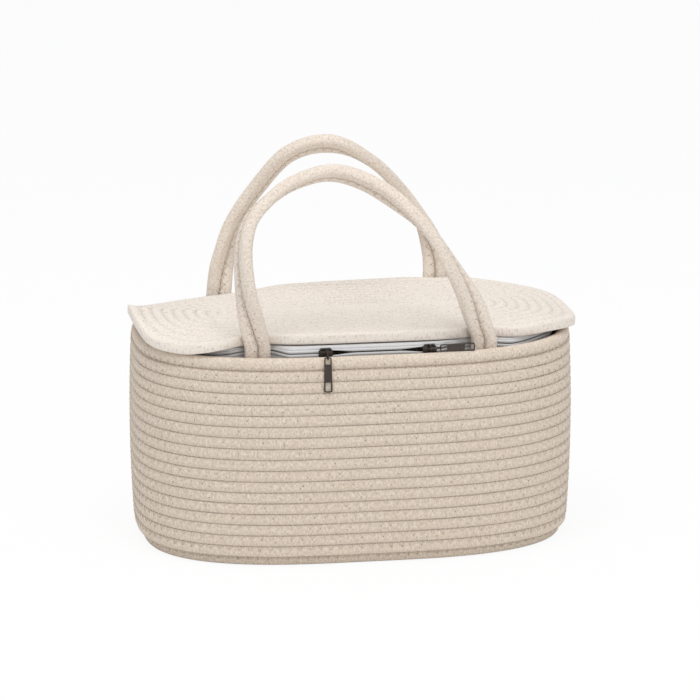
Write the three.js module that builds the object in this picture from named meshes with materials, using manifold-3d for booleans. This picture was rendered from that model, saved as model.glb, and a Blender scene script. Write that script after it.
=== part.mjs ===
import * as THREE from "three";
import { mergeVertices } from "three/addons/utils/BufferGeometryUtils.js";
import Module from "manifold-3d";

// A storage bag coiled from cotton rope, with a coiled lid that a zip closes and two rope handles.
// Millimetres, +Z up, X along the bag, the front at -Y. The origin is the middle of the underside.

// Driving sizes of the coiled body
const ropePitch = 9.5;
const rowCount = 19;
const lowestRowTall = 8.6;
const halfLength = 190;
const halfDepth = 120;
const planFlat = 40;
const planPower = 2.66;
const wallThickness = 9.4;
const grooveDepth = 1.2;
const widestHeight = 100;
const endTaper = 2.9;
const taperReach = 90;
const bottomRadius = 16;
const baseThickness = 9;
const baseInset = 22;
const rimRowTall = 10.5;
const baseStep = 0.6;
const stationCount = 44;

// Driving sizes of the lid
const lidRope = 9;
const lidOverRight = 3.2;
const lidOverLeft = 1.4;
const lidInFront = 23;
const lidInRear = 27;
const lidCentreLift = 6;
const lidEdgePower = 7;
const lidGroove = 1.1;
const lidRows = 10;
const lidEndX = 125;
const lidEndSteps = 6;
const lidSideSteps = 10;
const lidUnderRings = [64, 40, 25, 14];
const lidBulge = 7.5;
const lidBulgeX = -134;
const lidBulgeWidth = 21;
const legDentWidth = 18;
const dentFade = 30;

// Driving sizes of the two handles, each of two ropes sewn side by side
const handleRope = 10.5;
const ropeSeam = 0.3;
const footSpacing = 193;
const frontHandleX = 3;
const rearHandleX = -5.5;
const frontHandleRise = 141.8;
const rearHandleRise = 137.8;
const handleLean = 23;
const handleBow = 9;
const leanPower = 4;
const pivotAboveRim = 6.4;
const sewnDepth = 36;
const handleFoot = 0.15;
const handleSides = 8;
const endCapTurns = [70, 35];
const handleSteps = 34;

// Driving sizes of the zip
const zipAboveRim = 1.4;
const zipInset = 5.4;
const zipStraightLeft = 66.5;
const zipStraightRight = 57.5;
const legFade = 27;
const legReach = 10;
const coilHalf = 1.2;
const coilTall = 2.2;
const coilSlit = 1.8;
const tapeThickness = 0.8;
const tapeWidth = 17;
const tapeRise = 2.8;
const zipTuck = 5.2;
const stopRoom = 2.7;
const zipCornerSteps = 18;
const zipLegSteps = 13;
const stopLength = 7;
const hingeEndRoom = 5.7;
const hingeSewn = 22;
const hingeRise = 9.9;
const hingeCross = 7;
const hingeSteps = 12;

// Driving sizes of the sliders, their links and their pull tabs
const leftSliderX = -37.8;
const rightSliderX = 50.6;
const sliderLength = 12;
const sliderTall = 10;
const sliderFrontRoom = 2.2;
const sliderBackRoom = 1.8;
const plateThickness = 1;
const postLength = 4;
const postTall = 1.2;
const crownReach = 4.2;
const crownBar = 1.1;
const crownRise = 2.5;
const uprightRise = 2.3;
const uprightReach = 2.9;
const linkPivots = 8.4;
const linkWire = 1;
const linkRoom = 1.15;
const linkSlope = 20;
const tabLength = 30;
const tabWidth = 6.5;
const tabThickness = 1.2;
const tabFrame = 1.1;
const tabEye = 5.2;
const tabWindow = 7.6;
const tabHang = 3.5;

// Gaps between touching pieces
const seam = 0.3;
const running = 1.2;
const clothRoom = 0.9;

const rimTop = rimRowTall + ropePitch * (rowCount - 2) + lowestRowTall;
const zipHeight = rimTop + zipAboveRim;
const lidRight = halfLength + lidOverRight;
const lidLeft = halfLength + lidOverLeft;
const lidFront = halfDepth - lidInFront;
const lidRear = halfDepth - lidInRear;
const lidCore = (lidFront + lidRear) / 2;

const clothBody = new THREE.MeshStandardMaterial({ color: 0xd9cabb, roughness: 0.95, metalness: 0 });
const clothLid = new THREE.MeshStandardMaterial({ color: 0xe9e0d6, roughness: 0.95, metalness: 0 });
const clothTape = new THREE.MeshStandardMaterial({ color: 0xe6e7ea, roughness: 0.9, metalness: 0 });
const coilPlastic = new THREE.MeshStandardMaterial({ color: 0xd8d9dc, roughness: 0.6, metalness: 0 });
const gunmetal = new THREE.MeshStandardMaterial({ color: 0x3b3733, roughness: 0.4, metalness: 0.9 });

const wasm = await Module();
wasm.setup();
const bag = new THREE.Group();

function clamp01(value) {
  return Math.min(1, Math.max(0, value));
}

function smooth(from, to, value) {
  const share = clamp01((value - from) / (to - from));
  return share * share * (3 - 2 * share);
}

function mix(from, to, share) {
  return from + (to - from) * share;
}

function radians(degrees) {
  return (degrees * Math.PI) / 180;
}

// A closed solid through a row of like sections; an open row is capped at both ends
function loft(sections, closed) {
  const count = sections[0].length;
  const points = sections.flat();
  const faces = [];
  const last = closed ? sections.length : sections.length - 1;
  for (let s = 0; s < last; s += 1) {
    const here = s * count;
    const there = ((s + 1) % sections.length) * count;
    for (let i = 0; i < count; i += 1) {
      const j = (i + 1) % count;
      faces.push([here + i, here + j, there + j]);
      faces.push([here + i, there + j, there + i]);
    }
  }
  if (!closed) {
    const end = (sections.length - 1) * count;
    for (let i = 0; i < count / 2 - 1; i += 1) {
      const k = count - 1 - i;
      faces.push([k, i + 1, i]);
      faces.push([k, k - 1, i + 1]);
      faces.push([end + i, end + i + 1, end + k]);
      faces.push([end + i + 1, end + k - 1, end + k]);
    }
  }
  return solidOf(points, faces.filter(([a, b, c]) => a !== b && b !== c && a !== c));
}

function solidOf(points, faces) {
  let volume = 0;
  for (const [a, b, c] of faces) {
    volume += points[a].dot(points[b].clone().cross(points[c]));
  }
  const ordered = volume > 0 ? faces : faces.map(([a, b, c]) => [a, c, b]);
  const geometry = new THREE.BufferGeometry();
  const place = points.flatMap((point) => [point.x, point.y, point.z]);
  geometry.setAttribute("position", new THREE.Float32BufferAttribute(place, 3));
  geometry.setIndex(ordered.flat());
  return geometry;
}

function manifoldOf(geometry) {
  const bare = geometry.clone();
  bare.deleteAttribute("normal");
  bare.deleteAttribute("uv");
  const merged = mergeVertices(bare, 1e-4);
  const vertProperties = new Float32Array(merged.attributes.position.array);
  const triVerts = new Uint32Array(merged.index.array);
  return new wasm.Manifold(new wasm.Mesh({ numProp: 3, vertProperties, triVerts }));
}

function geometryOf(manifold) {
  const mesh = manifold.getMesh();
  const geometry = new THREE.BufferGeometry();
  geometry.setAttribute("position", new THREE.BufferAttribute(new Float32Array(mesh.vertProperties), 3));
  geometry.setIndex(new THREE.BufferAttribute(new Uint32Array(mesh.triVerts), 1));
  return geometry;
}

// A block between two corners
function block(x0, x1, y0, y1, z0, z1) {
  const geometry = new THREE.BoxGeometry(x1 - x0, y1 - y0, z1 - z0);
  return geometry.translate((x0 + x1) / 2, (y0 + y1) / 2, (z0 + z1) / 2);
}

function addPiece(name, geometry, material) {
  const mesh = new THREE.Mesh(geometry, material.clone());
  mesh.name = name;
  bag.add(mesh);
  return mesh;
}

// Plan of the coiled body
// The bag swells to its middle height, and offset moves the outline out (+) or in (-)
function bodyShift(z) {
  return -endTaper * ((z - widestHeight) / taperReach) ** 2;
}

function reachOf(offset) {
  return halfLength + offset - planFlat / 2;
}

function planPoint(angle, offset) {
  const c = Math.cos(angle);
  const s = Math.sin(angle);
  const x = Math.sign(c) * (planFlat / 2 + reachOf(offset) * Math.abs(c) ** (2 / planPower));
  const y = Math.sign(s) * (halfDepth + offset) * Math.abs(s) ** (2 / planPower);
  return new THREE.Vector2(x, y);
}

// Half depth of the outline at a place x along the bag
function planDepthAt(x, offset) {
  const along = clamp01((Math.abs(x) - planFlat / 2) / reachOf(offset));
  return (halfDepth + offset) * (1 - along ** planPower) ** (1 / planPower);
}

// How far the lowest rows are drawn in under the bag
function underCurve(z) {
  const down = Math.max(0, bottomRadius - z);
  return bottomRadius - Math.sqrt(bottomRadius ** 2 - down ** 2);
}

// Half of the round rim rope, from one turn angle to the next
function rimArc(turns) {
  const round = wallThickness / 2;
  return turns.map((turn) => [
    -round + round * Math.cos(radians(turn)),
    rimTop - round + round * Math.sin(radians(turn)),
  ]);
}

// The wall is one rope wound upwards, so its outer side is a stack of rows with grooves between
function makeWall() {
  const outer = rimArc([90, 55, 20]);
  for (let row = 1; row < rowCount; row += 1) {
    const groove = rimTop - rimRowTall - (row - 1) * ropePitch;
    const next = Math.max(0, groove - ropePitch);
    outer.push([-grooveDepth - underCurve(groove), groove]);
    outer.push([-underCurve((groove + next) / 2), (groove + next) / 2]);
  }
  outer.push([-underCurve(0), 0]);
  const inner = [
    [-baseInset, 0],
    [-baseInset, baseThickness + baseStep],
    [-wallThickness, bottomRadius + 1],
    [-wallThickness, widestHeight],
    [-wallThickness, (widestHeight + rimTop) / 2],
    [-wallThickness, rimTop - tapeWidth],
    ...rimArc([180, 145, 115]),
  ];
  const profile = [...outer, ...inner];
  const sections = [];
  for (let s = 0; s < stationCount; s += 1) {
    const angle = (2 * Math.PI * (s + 0.5)) / stationCount;
    sections.push(profile.map(([w, z]) => {
      const plan = planPoint(angle, w + bodyShift(z));
      return new THREE.Vector3(plan.x, plan.y, z);
    }));
  }
  return loft(sections, true);
}

// The base is an oval mat that fills the ring of the lowest row
function makeBase() {
  const rings = [];
  for (const z of [0, baseThickness]) {
    const ring = [];
    for (let s = 0; s < stationCount; s += 1) {
      const angle = (2 * Math.PI * (s + 0.5)) / stationCount;
      const plan = planPoint(angle, -baseInset - seam + bodyShift(z));
      ring.push(new THREE.Vector3(plan.x, plan.y, z));
    }
    rings.push(ring);
  }
  return loft(rings, false);
}

// Feet of the handles
const handleHalf = handleRope / 2;
const ropeApart = (handleRope + ropeSeam) / 2;
const pivotZ = rimTop + pivotAboveRim;
const innerFaceShift = -wallThickness + bodyShift(rimTop - wallThickness / 2);

function footXs(centre) {
  return [centre - footSpacing / 2, centre + footSpacing / 2];
}

// A rope stands just inside the wall, whose face slopes away where the plan curves
function ropeSeatDepth(x) {
  const step = 1;
  const slope = (planDepthAt(x - step, innerFaceShift) - planDepthAt(x + step, innerFaceShift)) / (2 * step);
  return planDepthAt(x, innerFaceShift) - (handleHalf + seam) * Math.hypot(1, slope) - seam;
}

const allFeet = [...footXs(frontHandleX), ...footXs(rearHandleX)];
const handleY = Math.min(...allFeet.map((x) => ropeSeatDepth(Math.abs(x) + ropeApart)));

// Lid outline
// Each corner of the lid has its own fullness, because the soft lid has lost its shape
const lidCorners = { frontLeft: 4.2, frontRight: 3, rearLeft: 2.2, rearRight: 3 };

function lidSide(x, y) {
  const power = y < 0
    ? (x < 0 ? lidCorners.frontLeft : lidCorners.frontRight)
    : (x < 0 ? lidCorners.rearLeft : lidCorners.rearRight);
  return { power, reach: x < 0 ? lidLeft : lidRight, depth: y < 0 ? lidFront : lidRear };
}

function lidDepthAt(x, y) {
  const { power, reach, depth } = lidSide(x, y);
  return depth * (1 - clamp01(Math.abs(x) / reach) ** power) ** (1 / power);
}

// The edge of the lid is pressed in behind each leg of a handle, and bulges out at its front left
function legDent(x, y) {
  let dent = 0;
  const wide = ropeApart + handleHalf / 2;
  for (const foot of footXs(y < 0 ? frontHandleX : rearHandleX)) {
    const near = Math.exp(-((ropeApart / legDentWidth) ** 2));
    const widest = Math.max(lidDepthAt(foot - wide, y), lidDepthAt(foot + wide, y));
    const deep = Math.max(0, widest - (handleY - handleHalf - running)) / near;
    dent = Math.max(dent, deep * Math.exp(-(((x - foot) / legDentWidth) ** 2)));
  }
  const bulge = y < 0 ? lidBulge * Math.exp(-(((x - lidBulgeX) / lidBulgeWidth) ** 2)) : 0;
  return dent - bulge;
}

// Turns of the lid's stations, closer together where the handles' legs press its edge in
function lidTurns() {
  const quarter = (sideX, sideY) => {
    const { power, reach } = lidSide(sideX, sideY);
    const turnOf = (x) => Math.acos((x / reach) ** (power / 2));
    const turns = [];
    for (let k = 0; k < lidEndSteps; k += 1) {
      turns.push(turnOf(lidEndX) * ((k + 0.5) / lidEndSteps));
    }
    for (let k = 0; k < lidSideSteps; k += 1) {
      turns.push(turnOf(lidEndX * (1 - (k + 0.3) / lidSideSteps)));
    }
    return turns;
  };
  return [
    ...quarter(1, 1),
    ...quarter(-1, 1).reverse().map((turn) => Math.PI - turn),
    ...quarter(-1, -1).map((turn) => Math.PI + turn),
    ...quarter(1, -1).reverse().map((turn) => 2 * Math.PI - turn),
  ];
}

// A point of the lid's plan, inset from the edge along the rope rows
function lidPoint(angle, inset) {
  const c = Math.cos(angle);
  const s = Math.sin(angle);
  const { power, reach, depth } = lidSide(c, s);
  const x = Math.sign(c) * (reach - inset) * Math.abs(c) ** (2 / power);
  const full = depth * (1 - inset / lidCore) * Math.abs(s) ** (2 / power);
  const dent = legDent(x, s) * Math.max(0, 1 - inset / dentFade);
  return new THREE.Vector2(x, Math.sign(s) * Math.max(0, full - dent));
}

// Height of the lid's underside above the rim around its edge, by the turn in degrees from the
// right-hand tip through the rear: it lies on the rim at the front left, curls up at the left tip
// and droops at the right tip
const edgeLifts = [
  [0, -2.4], [22, 1], [38, 3], [53, 6], [67, 9.2], [80, 8.6], [92, 7.2], [103, 6], [113, 2.2],
  [130, 1], [150, 2.5], [166, 8], [180, 15], [192, 12.5], [204, 5.5], [216, 1.8], [232, 0.6],
  [243, 3.4], [255, 7.8], [270, 7.2], [290, 6.2], [303, 4], [320, 4.4], [338, 2],
];

function edgeLift(degrees) {
  const turn = ((degrees % 360) + 360) % 360;
  const count = edgeLifts.length;
  let k = count - 1;
  while (k > 0 && edgeLifts[k][0] > turn) {
    k -= 1;
  }
  const pick = (i) => {
    const [at, lift] = edgeLifts[((i % count) + count) % count];
    return [at + 360 * Math.floor(i / count), lift];
  };
  const [a0, h0] = pick(k - 1);
  const [a1, h1] = pick(k);
  const [a2, h2] = pick(k + 1);
  const [a3, h3] = pick(k + 2);
  const share = (turn - a1) / (a2 - a1);
  const start = ((h2 - h0) / (a2 - a0)) * (a2 - a1);
  const end = ((h3 - h1) / (a3 - a1)) * (a2 - a1);
  const s2 = share * share;
  const s3 = s2 * share;
  return (2 * s3 - 3 * s2 + 1) * h1 + (s3 - 2 * s2 + share) * start
    + (3 * s2 - 2 * s3) * h2 + (s3 - s2) * end;
}

// Height of the lid's underside over a place of the plan
function lidUnder(x, y) {
  const { power, reach, depth } = lidSide(x, y);
  const across = (Math.abs(x) / reach) ** power;
  const along = (Math.abs(y) / depth) ** power;
  const out = Math.min(1, (across + along) ** (1 / power));
  const turn = Math.atan2(Math.sign(y) * Math.sqrt(along), Math.sign(x) * Math.sqrt(across));
  const lift = edgeLift(THREE.MathUtils.radToDeg(turn));
  return rimTop + lidCentreLift + (lift - lidCentreLift) * out ** lidEdgePower;
}

function makeLid() {
  const half = lidRope / 2;
  const profile = [];
  for (const turn of [-90, -45, 0, 45]) {
    profile.push([half - half * Math.cos(radians(turn)), half + half * Math.sin(radians(turn))]);
  }
  for (let row = 0; row < lidRows; row += 1) {
    profile.push([half + row * ropePitch, lidRope]);
    profile.push([half + (row + 0.5) * ropePitch, lidRope - lidGroove]);
  }
  for (const inset of [lidRows * ropePitch - half, ...lidUnderRings]) {
    profile.push([inset, 0]);
  }
  const turns = lidTurns();
  const rings = profile.map(([inset, tall]) => turns.map((turn) => {
    const plan = lidPoint(turn, inset);
    return new THREE.Vector3(plan.x, plan.y, lidUnder(plan.x, plan.y) + tall);
  }));
  const under = rings.splice(rings.length - lidUnderRings.length - 1);
  return loft([...under, ...rings], false);
}

// Handle arches
// The middle line of each arch, as shares of half the foot spacing and of the handle's rise
const frontArch = [
  [-1, 0], [-1.07, 0.2], [-1.12, 0.41], [-1.12, 0.62], [-1.05, 0.76], [-0.9, 0.86], [-0.67, 0.95],
  [-0.32, 1], [0, 0.94], [0.34, 0.78], [0.54, 0.63], [0.69, 0.46], [0.85, 0.26], [1, 0],
];
const rearArch = [
  [-1, 0], [-0.96, 0.19], [-0.86, 0.44], [-0.63, 0.7], [-0.35, 0.94], [-0.03, 1], [0.37, 0.87],
  [0.7, 0.64], [0.86, 0.48], [0.95, 0.35], [1.01, 0.2], [1, 0],
];

// Turn of each pair of ropes in degrees, by the share of its length from the left foot: side by
// side at the feet, one behind the other over the top
const frontTwist = [
  [0, 0], [0.05, 18], [0.1, 54], [0.16, 70], [0.22, 80], [0.3, 98], [0.38, 112], [0.5, 122],
  [0.62, 121], [0.7, 98], [0.78, 82], [0.85, 64], [0.96, 6], [1, 0],
];
const rearTwist = [
  [0, 0], [0.04, 10], [0.11, 46], [0.18, 58], [0.25, 58], [0.36, 54], [0.45, 52], [0.5, 52], [0.58, 76],
  [0.65, 86], [0.79, 92], [0.85, 74], [0.96, 9], [1, 0],
];

function twistAt(marks, share) {
  const next = Math.max(1, marks.findIndex(([at]) => at >= share));
  const [from, first] = marks[next - 1];
  const [to, last] = marks[next];
  return radians(mix(first, last, (share - from) / (to - from)));
}

// One rope of a handle
function makeHandleRope(arch, twists, rise, centre, side, away) {
  const curve = new THREE.CatmullRomCurve3(arch.map(([across, height]) => new THREE.Vector3(
    centre + (across * footSpacing) / 2,
    side * (handleY + handleBow * Math.sin(Math.PI * height) - handleLean * height ** leanPower),
    pivotZ + height * rise,
  )), false, "centripetal");
  const sections = [];
  for (let step = 0; step <= handleSteps; step += 1) {
    const share = step / handleSteps;
    const toTop = 1 - Math.abs(2 * share - 1);
    const twist = twistAt(twists, share);
    const upright = new THREE.Vector3(0, 0, share < 0.5 ? 1 : -1);
    const along = curve.getTangentAt(share).lerp(upright, 1 - smooth(0, handleFoot, toTop));
    along.normalize();
    const level = new THREE.Vector3(0, 1, 0);
    level.addScaledVector(along, -level.dot(along)).normalize();
    const outward = along.clone().cross(level);
    const pair = outward.clone().multiplyScalar(Math.cos(twist));
    pair.addScaledVector(level, -side * Math.sin(twist));
    const middle = curve.getPointAt(share).addScaledVector(pair, away * ropeApart);
    const ring = (radius, back) => {
      const points = [];
      for (let k = 0; k < handleSides; k += 1) {
        const turn = (2 * Math.PI * (k + 0.5)) / handleSides;
        const point = middle.clone().addScaledVector(along, back);
        point.addScaledVector(outward, radius * Math.cos(turn));
        point.addScaledVector(level, radius * Math.sin(turn));
        points.push(point);
      }
      return points;
    };
    const caps = endCapTurns.map((turn) => [
      handleHalf * Math.cos(radians(turn)), handleHalf * Math.sin(radians(turn)),
    ]);
    if (step === 0) {
      caps.forEach(([radius, back]) => sections.push(ring(radius, -back)));
    }
    sections.push(ring(handleHalf, 0));
    if (step === handleSteps) {
      caps.reverse().forEach(([radius, back]) => sections.push(ring(radius, back)));
    }
  }
  return loft(sections, false);
}

// The stretch of a handle's rope that is sewn down inside the wall
function makeSewnEnd(x, side) {
  const end = new THREE.CylinderGeometry(handleHalf, handleHalf, sewnDepth, handleSides);
  end.rotateX(Math.PI / 2);
  end.translate(x, side * handleY, pivotZ - handleHalf - seam - sewnDepth / 2);
  return end;
}

// Path of the zip
const halfTape = tapeThickness / 2;
const zipRun = -planDepthAt(0, innerFaceShift - zipInset);
const zipEndX = -footXs(rearHandleX)[0] + 2 * ropeApart + stopLength + stopRoom;

function straightEnd(x) {
  return x < 0 ? zipStraightLeft : zipStraightRight;
}

// Plan of the zip: along the wall, straight between the front handle's legs and behind the legs
function zipPlan(angle, inset, z, half, straight) {
  const plan = planPoint(angle, -wallThickness + bodyShift(z) - inset);
  if (plan.y > 0) {
    return plan;
  }
  let depth = -plan.y;
  if (straight) {
    const end = straightEnd(plan.x);
    depth = mix(-zipRun, depth, smooth(end, end + legFade, Math.abs(plan.x)));
  }
  const behind = handleY - handleHalf - half - running / 2;
  for (const foot of footXs(frontHandleX)) {
    const away = Math.abs(plan.x - foot);
    const fade = Math.abs(foot) - straightEnd(foot);
    depth = mix(Math.min(depth, behind), depth, smooth(legReach, fade, away));
  }
  return new THREE.Vector2(plan.x, -depth);
}

// Turn of the body's outline at a place x, on the front or on the rear
function turnAt(x, front) {
  const along = clamp01((Math.abs(x) - planFlat / 2) / reachOf(innerFaceShift - zipInset));
  const turn = Math.acos(along ** (planPower / 2));
  const right = front ? 2 * Math.PI - turn : 2 * Math.PI + turn;
  const left = front ? Math.PI + turn : Math.PI - turn;
  return x < 0 ? left : right;
}

// The stations of the zip run from the rear left round the front to the rear right
function zipTurns() {
  const turns = [];
  const outer = Math.abs(footXs(frontHandleX)[1]) + legReach + ropeApart;
  for (let i = 0; i < zipCornerSteps; i += 1) {
    turns.push(mix(turnAt(-zipEndX, false), turnAt(-outer, true), i / zipCornerSteps));
  }
  for (let i = 0; i <= zipLegSteps; i += 1) {
    turns.push(turnAt(mix(-outer, -zipStraightLeft, i / zipLegSteps), true));
  }
  for (let i = 0; i <= zipLegSteps; i += 1) {
    turns.push(turnAt(mix(zipStraightRight, outer, i / zipLegSteps), true));
  }
  for (let i = 1; i <= zipCornerSteps; i += 1) {
    turns.push(mix(turnAt(outer, true), turnAt(zipEndX, false), i / zipCornerSteps));
  }
  return turns;
}

// Height of the zip's middle: level in front, and low enough to tuck under the lid elsewhere
function zipLevel(plan) {
  return Math.min(zipHeight, lidUnder(plan.x, plan.y) - zipTuck);
}

const zipStations = zipTurns().map((turn) => {
  const plan = zipPlan(turn, zipInset, rimTop, coilHalf, true);
  return { turn, plan, level: zipLevel(plan) };
});
zipStations.forEach((station, i) => {
  const before = zipStations[Math.max(0, i - 1)].plan;
  const after = zipStations[Math.min(zipStations.length - 1, i + 1)].plan;
  const along = after.clone().sub(before).normalize();
  station.along = new THREE.Vector3(along.x, along.y, 0);
  station.outward = new THREE.Vector3(along.y, -along.x, 0);
});

// A row of teeth, above (+1) or below (-1) the slit that the sliders' posts run in
function makeCoil(side) {
  const near = side * (coilSlit / 2);
  const far = side * (coilSlit / 2 + coilTall);
  return loft(zipStations.map(({ plan, level, outward }) => {
    const corner = (w, z) => new THREE.Vector3(plan.x, plan.y, level + z).addScaledVector(outward, w);
    return [corner(coilHalf, near), corner(coilHalf, far), corner(-coilHalf, far), corner(-coilHalf, near)];
  }), false);
}

// A strip of cloth: each station gives a line of points, which gets its thickness across the line
function makeStrip(lines, directions) {
  return loft(lines.map((line, s) => {
    const front = [];
    const back = [];
    line.forEach((point, i) => {
      const before = line[Math.max(0, i - 1)];
      const after = line[Math.min(line.length - 1, i + 1)];
      const run = after.clone().sub(point).normalize().add(point.clone().sub(before).normalize());
      const across = run.normalize().cross(directions[s]).normalize();
      front.push(point.clone().addScaledVector(across, halfTape));
      back.unshift(point.clone().addScaledVector(across, -halfTape));
    });
    return [...front, ...back];
  }), false);
}

// The lower tape is sewn to the inside of the wall and over the handles' sewn ends
function makeLowerTape() {
  const lines = zipStations.map(({ turn, plan, level }) => {
    const top = level - coilSlit / 2 - coilTall - seam - halfTape;
    const low = top - tapeWidth;
    const sewn = zipPlan(turn, clothRoom + halfTape, low, halfTape, false);
    return [new THREE.Vector3(plan.x, plan.y, top), new THREE.Vector3(sewn.x, sewn.y, low)];
  });
  return makeStrip(lines, zipStations.map(({ along }) => along));
}

// The upper tape rises from its teeth and is sewn under the lid's edge rope
function makeUpperTape() {
  const lines = zipStations.map(({ plan, level }) => {
    const start = level + coilSlit / 2 + coilTall + seam;
    const reach = lidDepthAt(plan.x, plan.y) - legDent(plan.x, plan.y) - lidRope / 2;
    const seatY = Math.sign(plan.y) * Math.min(Math.abs(plan.y), Math.max(reach, 0));
    const covered = plan.y > 0 || Math.abs(plan.x) > lidEndX;
    const y = covered ? plan.y : seatY;
    const bare = covered ? 0 : smooth(0, lidRope, Math.abs(plan.y) - Math.abs(y));
    const under = lidUnder(plan.x, y) - 2 * seam - tapeThickness * bare;
    return [
      new THREE.Vector3(plan.x, plan.y, start),
      new THREE.Vector3(plan.x, plan.y, mix((start + under) / 2, start + tapeRise, bare)),
      new THREE.Vector3(plan.x, y, under),
    ];
  });
  return makeStrip(lines, zipStations.map(({ along }) => along));
}

// A stop sewn over both rows of teeth at each end of the zip
function makeZipStop(index) {
  const { plan, level, along, outward } = zipStations[index];
  const way = index === 0 ? -1 : 1;
  const tall = coilSlit / 2 + coilTall;
  const wide = coilHalf + halfTape;
  return loft([seam, seam + stopLength].map((run) => {
    const corner = (w, z) => new THREE.Vector3(plan.x, plan.y, level + z)
      .addScaledVector(outward, w).addScaledVector(along, way * run);
    return [corner(wide, -tall), corner(wide, tall), corner(-wide, tall), corner(-wide, -tall)];
  }), false);
}

// The cloth hinge: sewn inside the rear wall, it crosses to the lid's rear edge and stands behind it
const hingeY = lidRear + seam + halfTape;
const hingeZ = rimTop + hingeRise;
const hingeHalfWidth = footXs(rearHandleX)[1] - 2 * ropeApart - hingeEndRoom;

function makeHingeStrip() {
  const lines = [];
  for (let i = 0; i <= hingeSteps; i += 1) {
    const x = mix(-hingeHalfWidth, hingeHalfWidth, i / hingeSteps);
    const wallY = planDepthAt(x, innerFaceShift) - clothRoom;
    const lidY = lidDepthAt(x, 1) - legDent(x, 1) + clothRoom;
    lines.push([
      new THREE.Vector3(x, wallY, rimTop - hingeSewn),
      new THREE.Vector3(x, wallY, rimTop - hingeCross),
      new THREE.Vector3(x, lidY, hingeZ - hingeCross),
      new THREE.Vector3(x, lidY, hingeZ - seam - halfTape),
    ]);
  }
  return makeStrip(lines, lines.map(() => new THREE.Vector3(1, 0, 0)));
}

// Sliders
const plateFront = sliderFrontRoom + plateThickness;
const crownY = plateFront + crownReach;
const barHalf = crownBar / 2;

// A slider's two plates, the post between them and the bridge that carries its pull
function makeSlider(x, upright) {
  const half = sliderLength / 2;
  const tall = sliderTall / 2;
  const parts = [
    block(-half, half, -plateFront, -sliderFrontRoom, -tall, tall),
    block(-half, half, sliderBackRoom, sliderBackRoom + plateThickness, -tall, tall),
    block(-postLength / 2, postLength / 2, -plateFront, sliderBackRoom + barHalf, -postTall / 2, postTall / 2),
  ];
  const root = -plateFront + barHalf;
  if (upright) {
    const low = uprightRise - uprightReach;
    const high = uprightRise + uprightReach;
    parts.push(block(-barHalf, barHalf, -crownY - barHalf, -crownY + barHalf, low, high));
    parts.push(block(-barHalf, barHalf, -crownY, root, low, low + crownBar));
    parts.push(block(-barHalf, barHalf, -crownY, root, high - crownBar, high));
  } else {
    const end = half - crownBar;
    const low = crownRise - barHalf;
    const high = crownRise + barHalf;
    parts.push(block(-end, end, -crownY - barHalf, -crownY + barHalf, low, high));
    parts.push(block(-end, -end + crownBar, -crownY, root, low, high));
    parts.push(block(end - crownBar, end, -crownY, root, low, high));
  }
  const joined = parts.map(manifoldOf).reduce((whole, part) => whole.add(part));
  return geometryOf(joined).translate(x, zipRun, zipHeight);
}

function stadium(length, radius, Kind) {
  const outline = new Kind();
  outline.moveTo(0, -radius);
  outline.lineTo(length, -radius);
  outline.absarc(length, 0, radius, -Math.PI / 2, Math.PI / 2, false);
  outline.lineTo(0, radius);
  outline.absarc(0, 0, radius, Math.PI / 2, 1.5 * Math.PI, false);
  return outline;
}

// A wire loop between the slider's bridge and the pull tab
function makeLink() {
  const outline = stadium(linkPivots, linkRoom + linkWire, THREE.Shape);
  outline.holes.push(stadium(linkPivots, linkRoom, THREE.Path));
  const depth = linkWire;
  const link = new THREE.ExtrudeGeometry(outline, { depth, bevelEnabled: false, curveSegments: 6 });
  return link.translate(0, 0, -depth / 2);
}

// A pull tab: an eye for the link at one end and a window at the other
function makeTab() {
  const half = tabWidth / 2;
  const side = half - tabFrame;
  const face = tabThickness / 2;
  const start = -tabFrame / 2;
  const end = start + tabLength;
  const plate = manifoldOf(block(start, end, -half, half, -face, face));
  const eye = manifoldOf(block(tabFrame / 2, tabFrame / 2 + tabEye, -side, side, -tabFrame, tabFrame));
  const windowEnd = end - tabFrame;
  const cut = manifoldOf(block(windowEnd - tabWindow, windowEnd, -side, side, -tabFrame, tabFrame));
  return geometryOf(plate.subtract(eye).subtract(cut));
}

// Sets a piece made along its own X at a pivot, with its X and Z turned to the given directions
function setAlong(mesh, pivot, along, face) {
  const side = face.clone().cross(along);
  mesh.applyMatrix4(new THREE.Matrix4().makeBasis(along, side, face).setPosition(pivot));
}

function addPull(name, x, upright) {
  const height = zipHeight + (upright ? uprightRise : crownRise);
  const bridge = new THREE.Vector3(x, zipRun - crownY, height);
  const slope = upright ? 0 : radians(linkSlope);
  const hang = upright ? 0 : radians(tabHang);
  const linkAlong = upright
    ? new THREE.Vector3(1, 0, 0)
    : new THREE.Vector3(0, -Math.cos(slope), -Math.sin(slope));
  const linkFace = upright ? new THREE.Vector3(0, 0, 1) : new THREE.Vector3(1, 0, 0);
  const tabAlong = upright
    ? new THREE.Vector3(1, 0, 0)
    : new THREE.Vector3(0, -Math.sin(hang), -Math.cos(hang));
  const tabFace = upright
    ? new THREE.Vector3(0, -1, 0)
    : new THREE.Vector3(0, -Math.cos(hang), Math.sin(hang));
  setAlong(addPiece(`${name}_pull_link`, makeLink(), gunmetal), bridge, linkAlong, linkFace);
  const eye = bridge.clone().addScaledVector(linkAlong, linkPivots);
  setAlong(addPiece(`${name}_pull_tab`, makeTab(), gunmetal), eye, tabAlong, tabFace);
}

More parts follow.
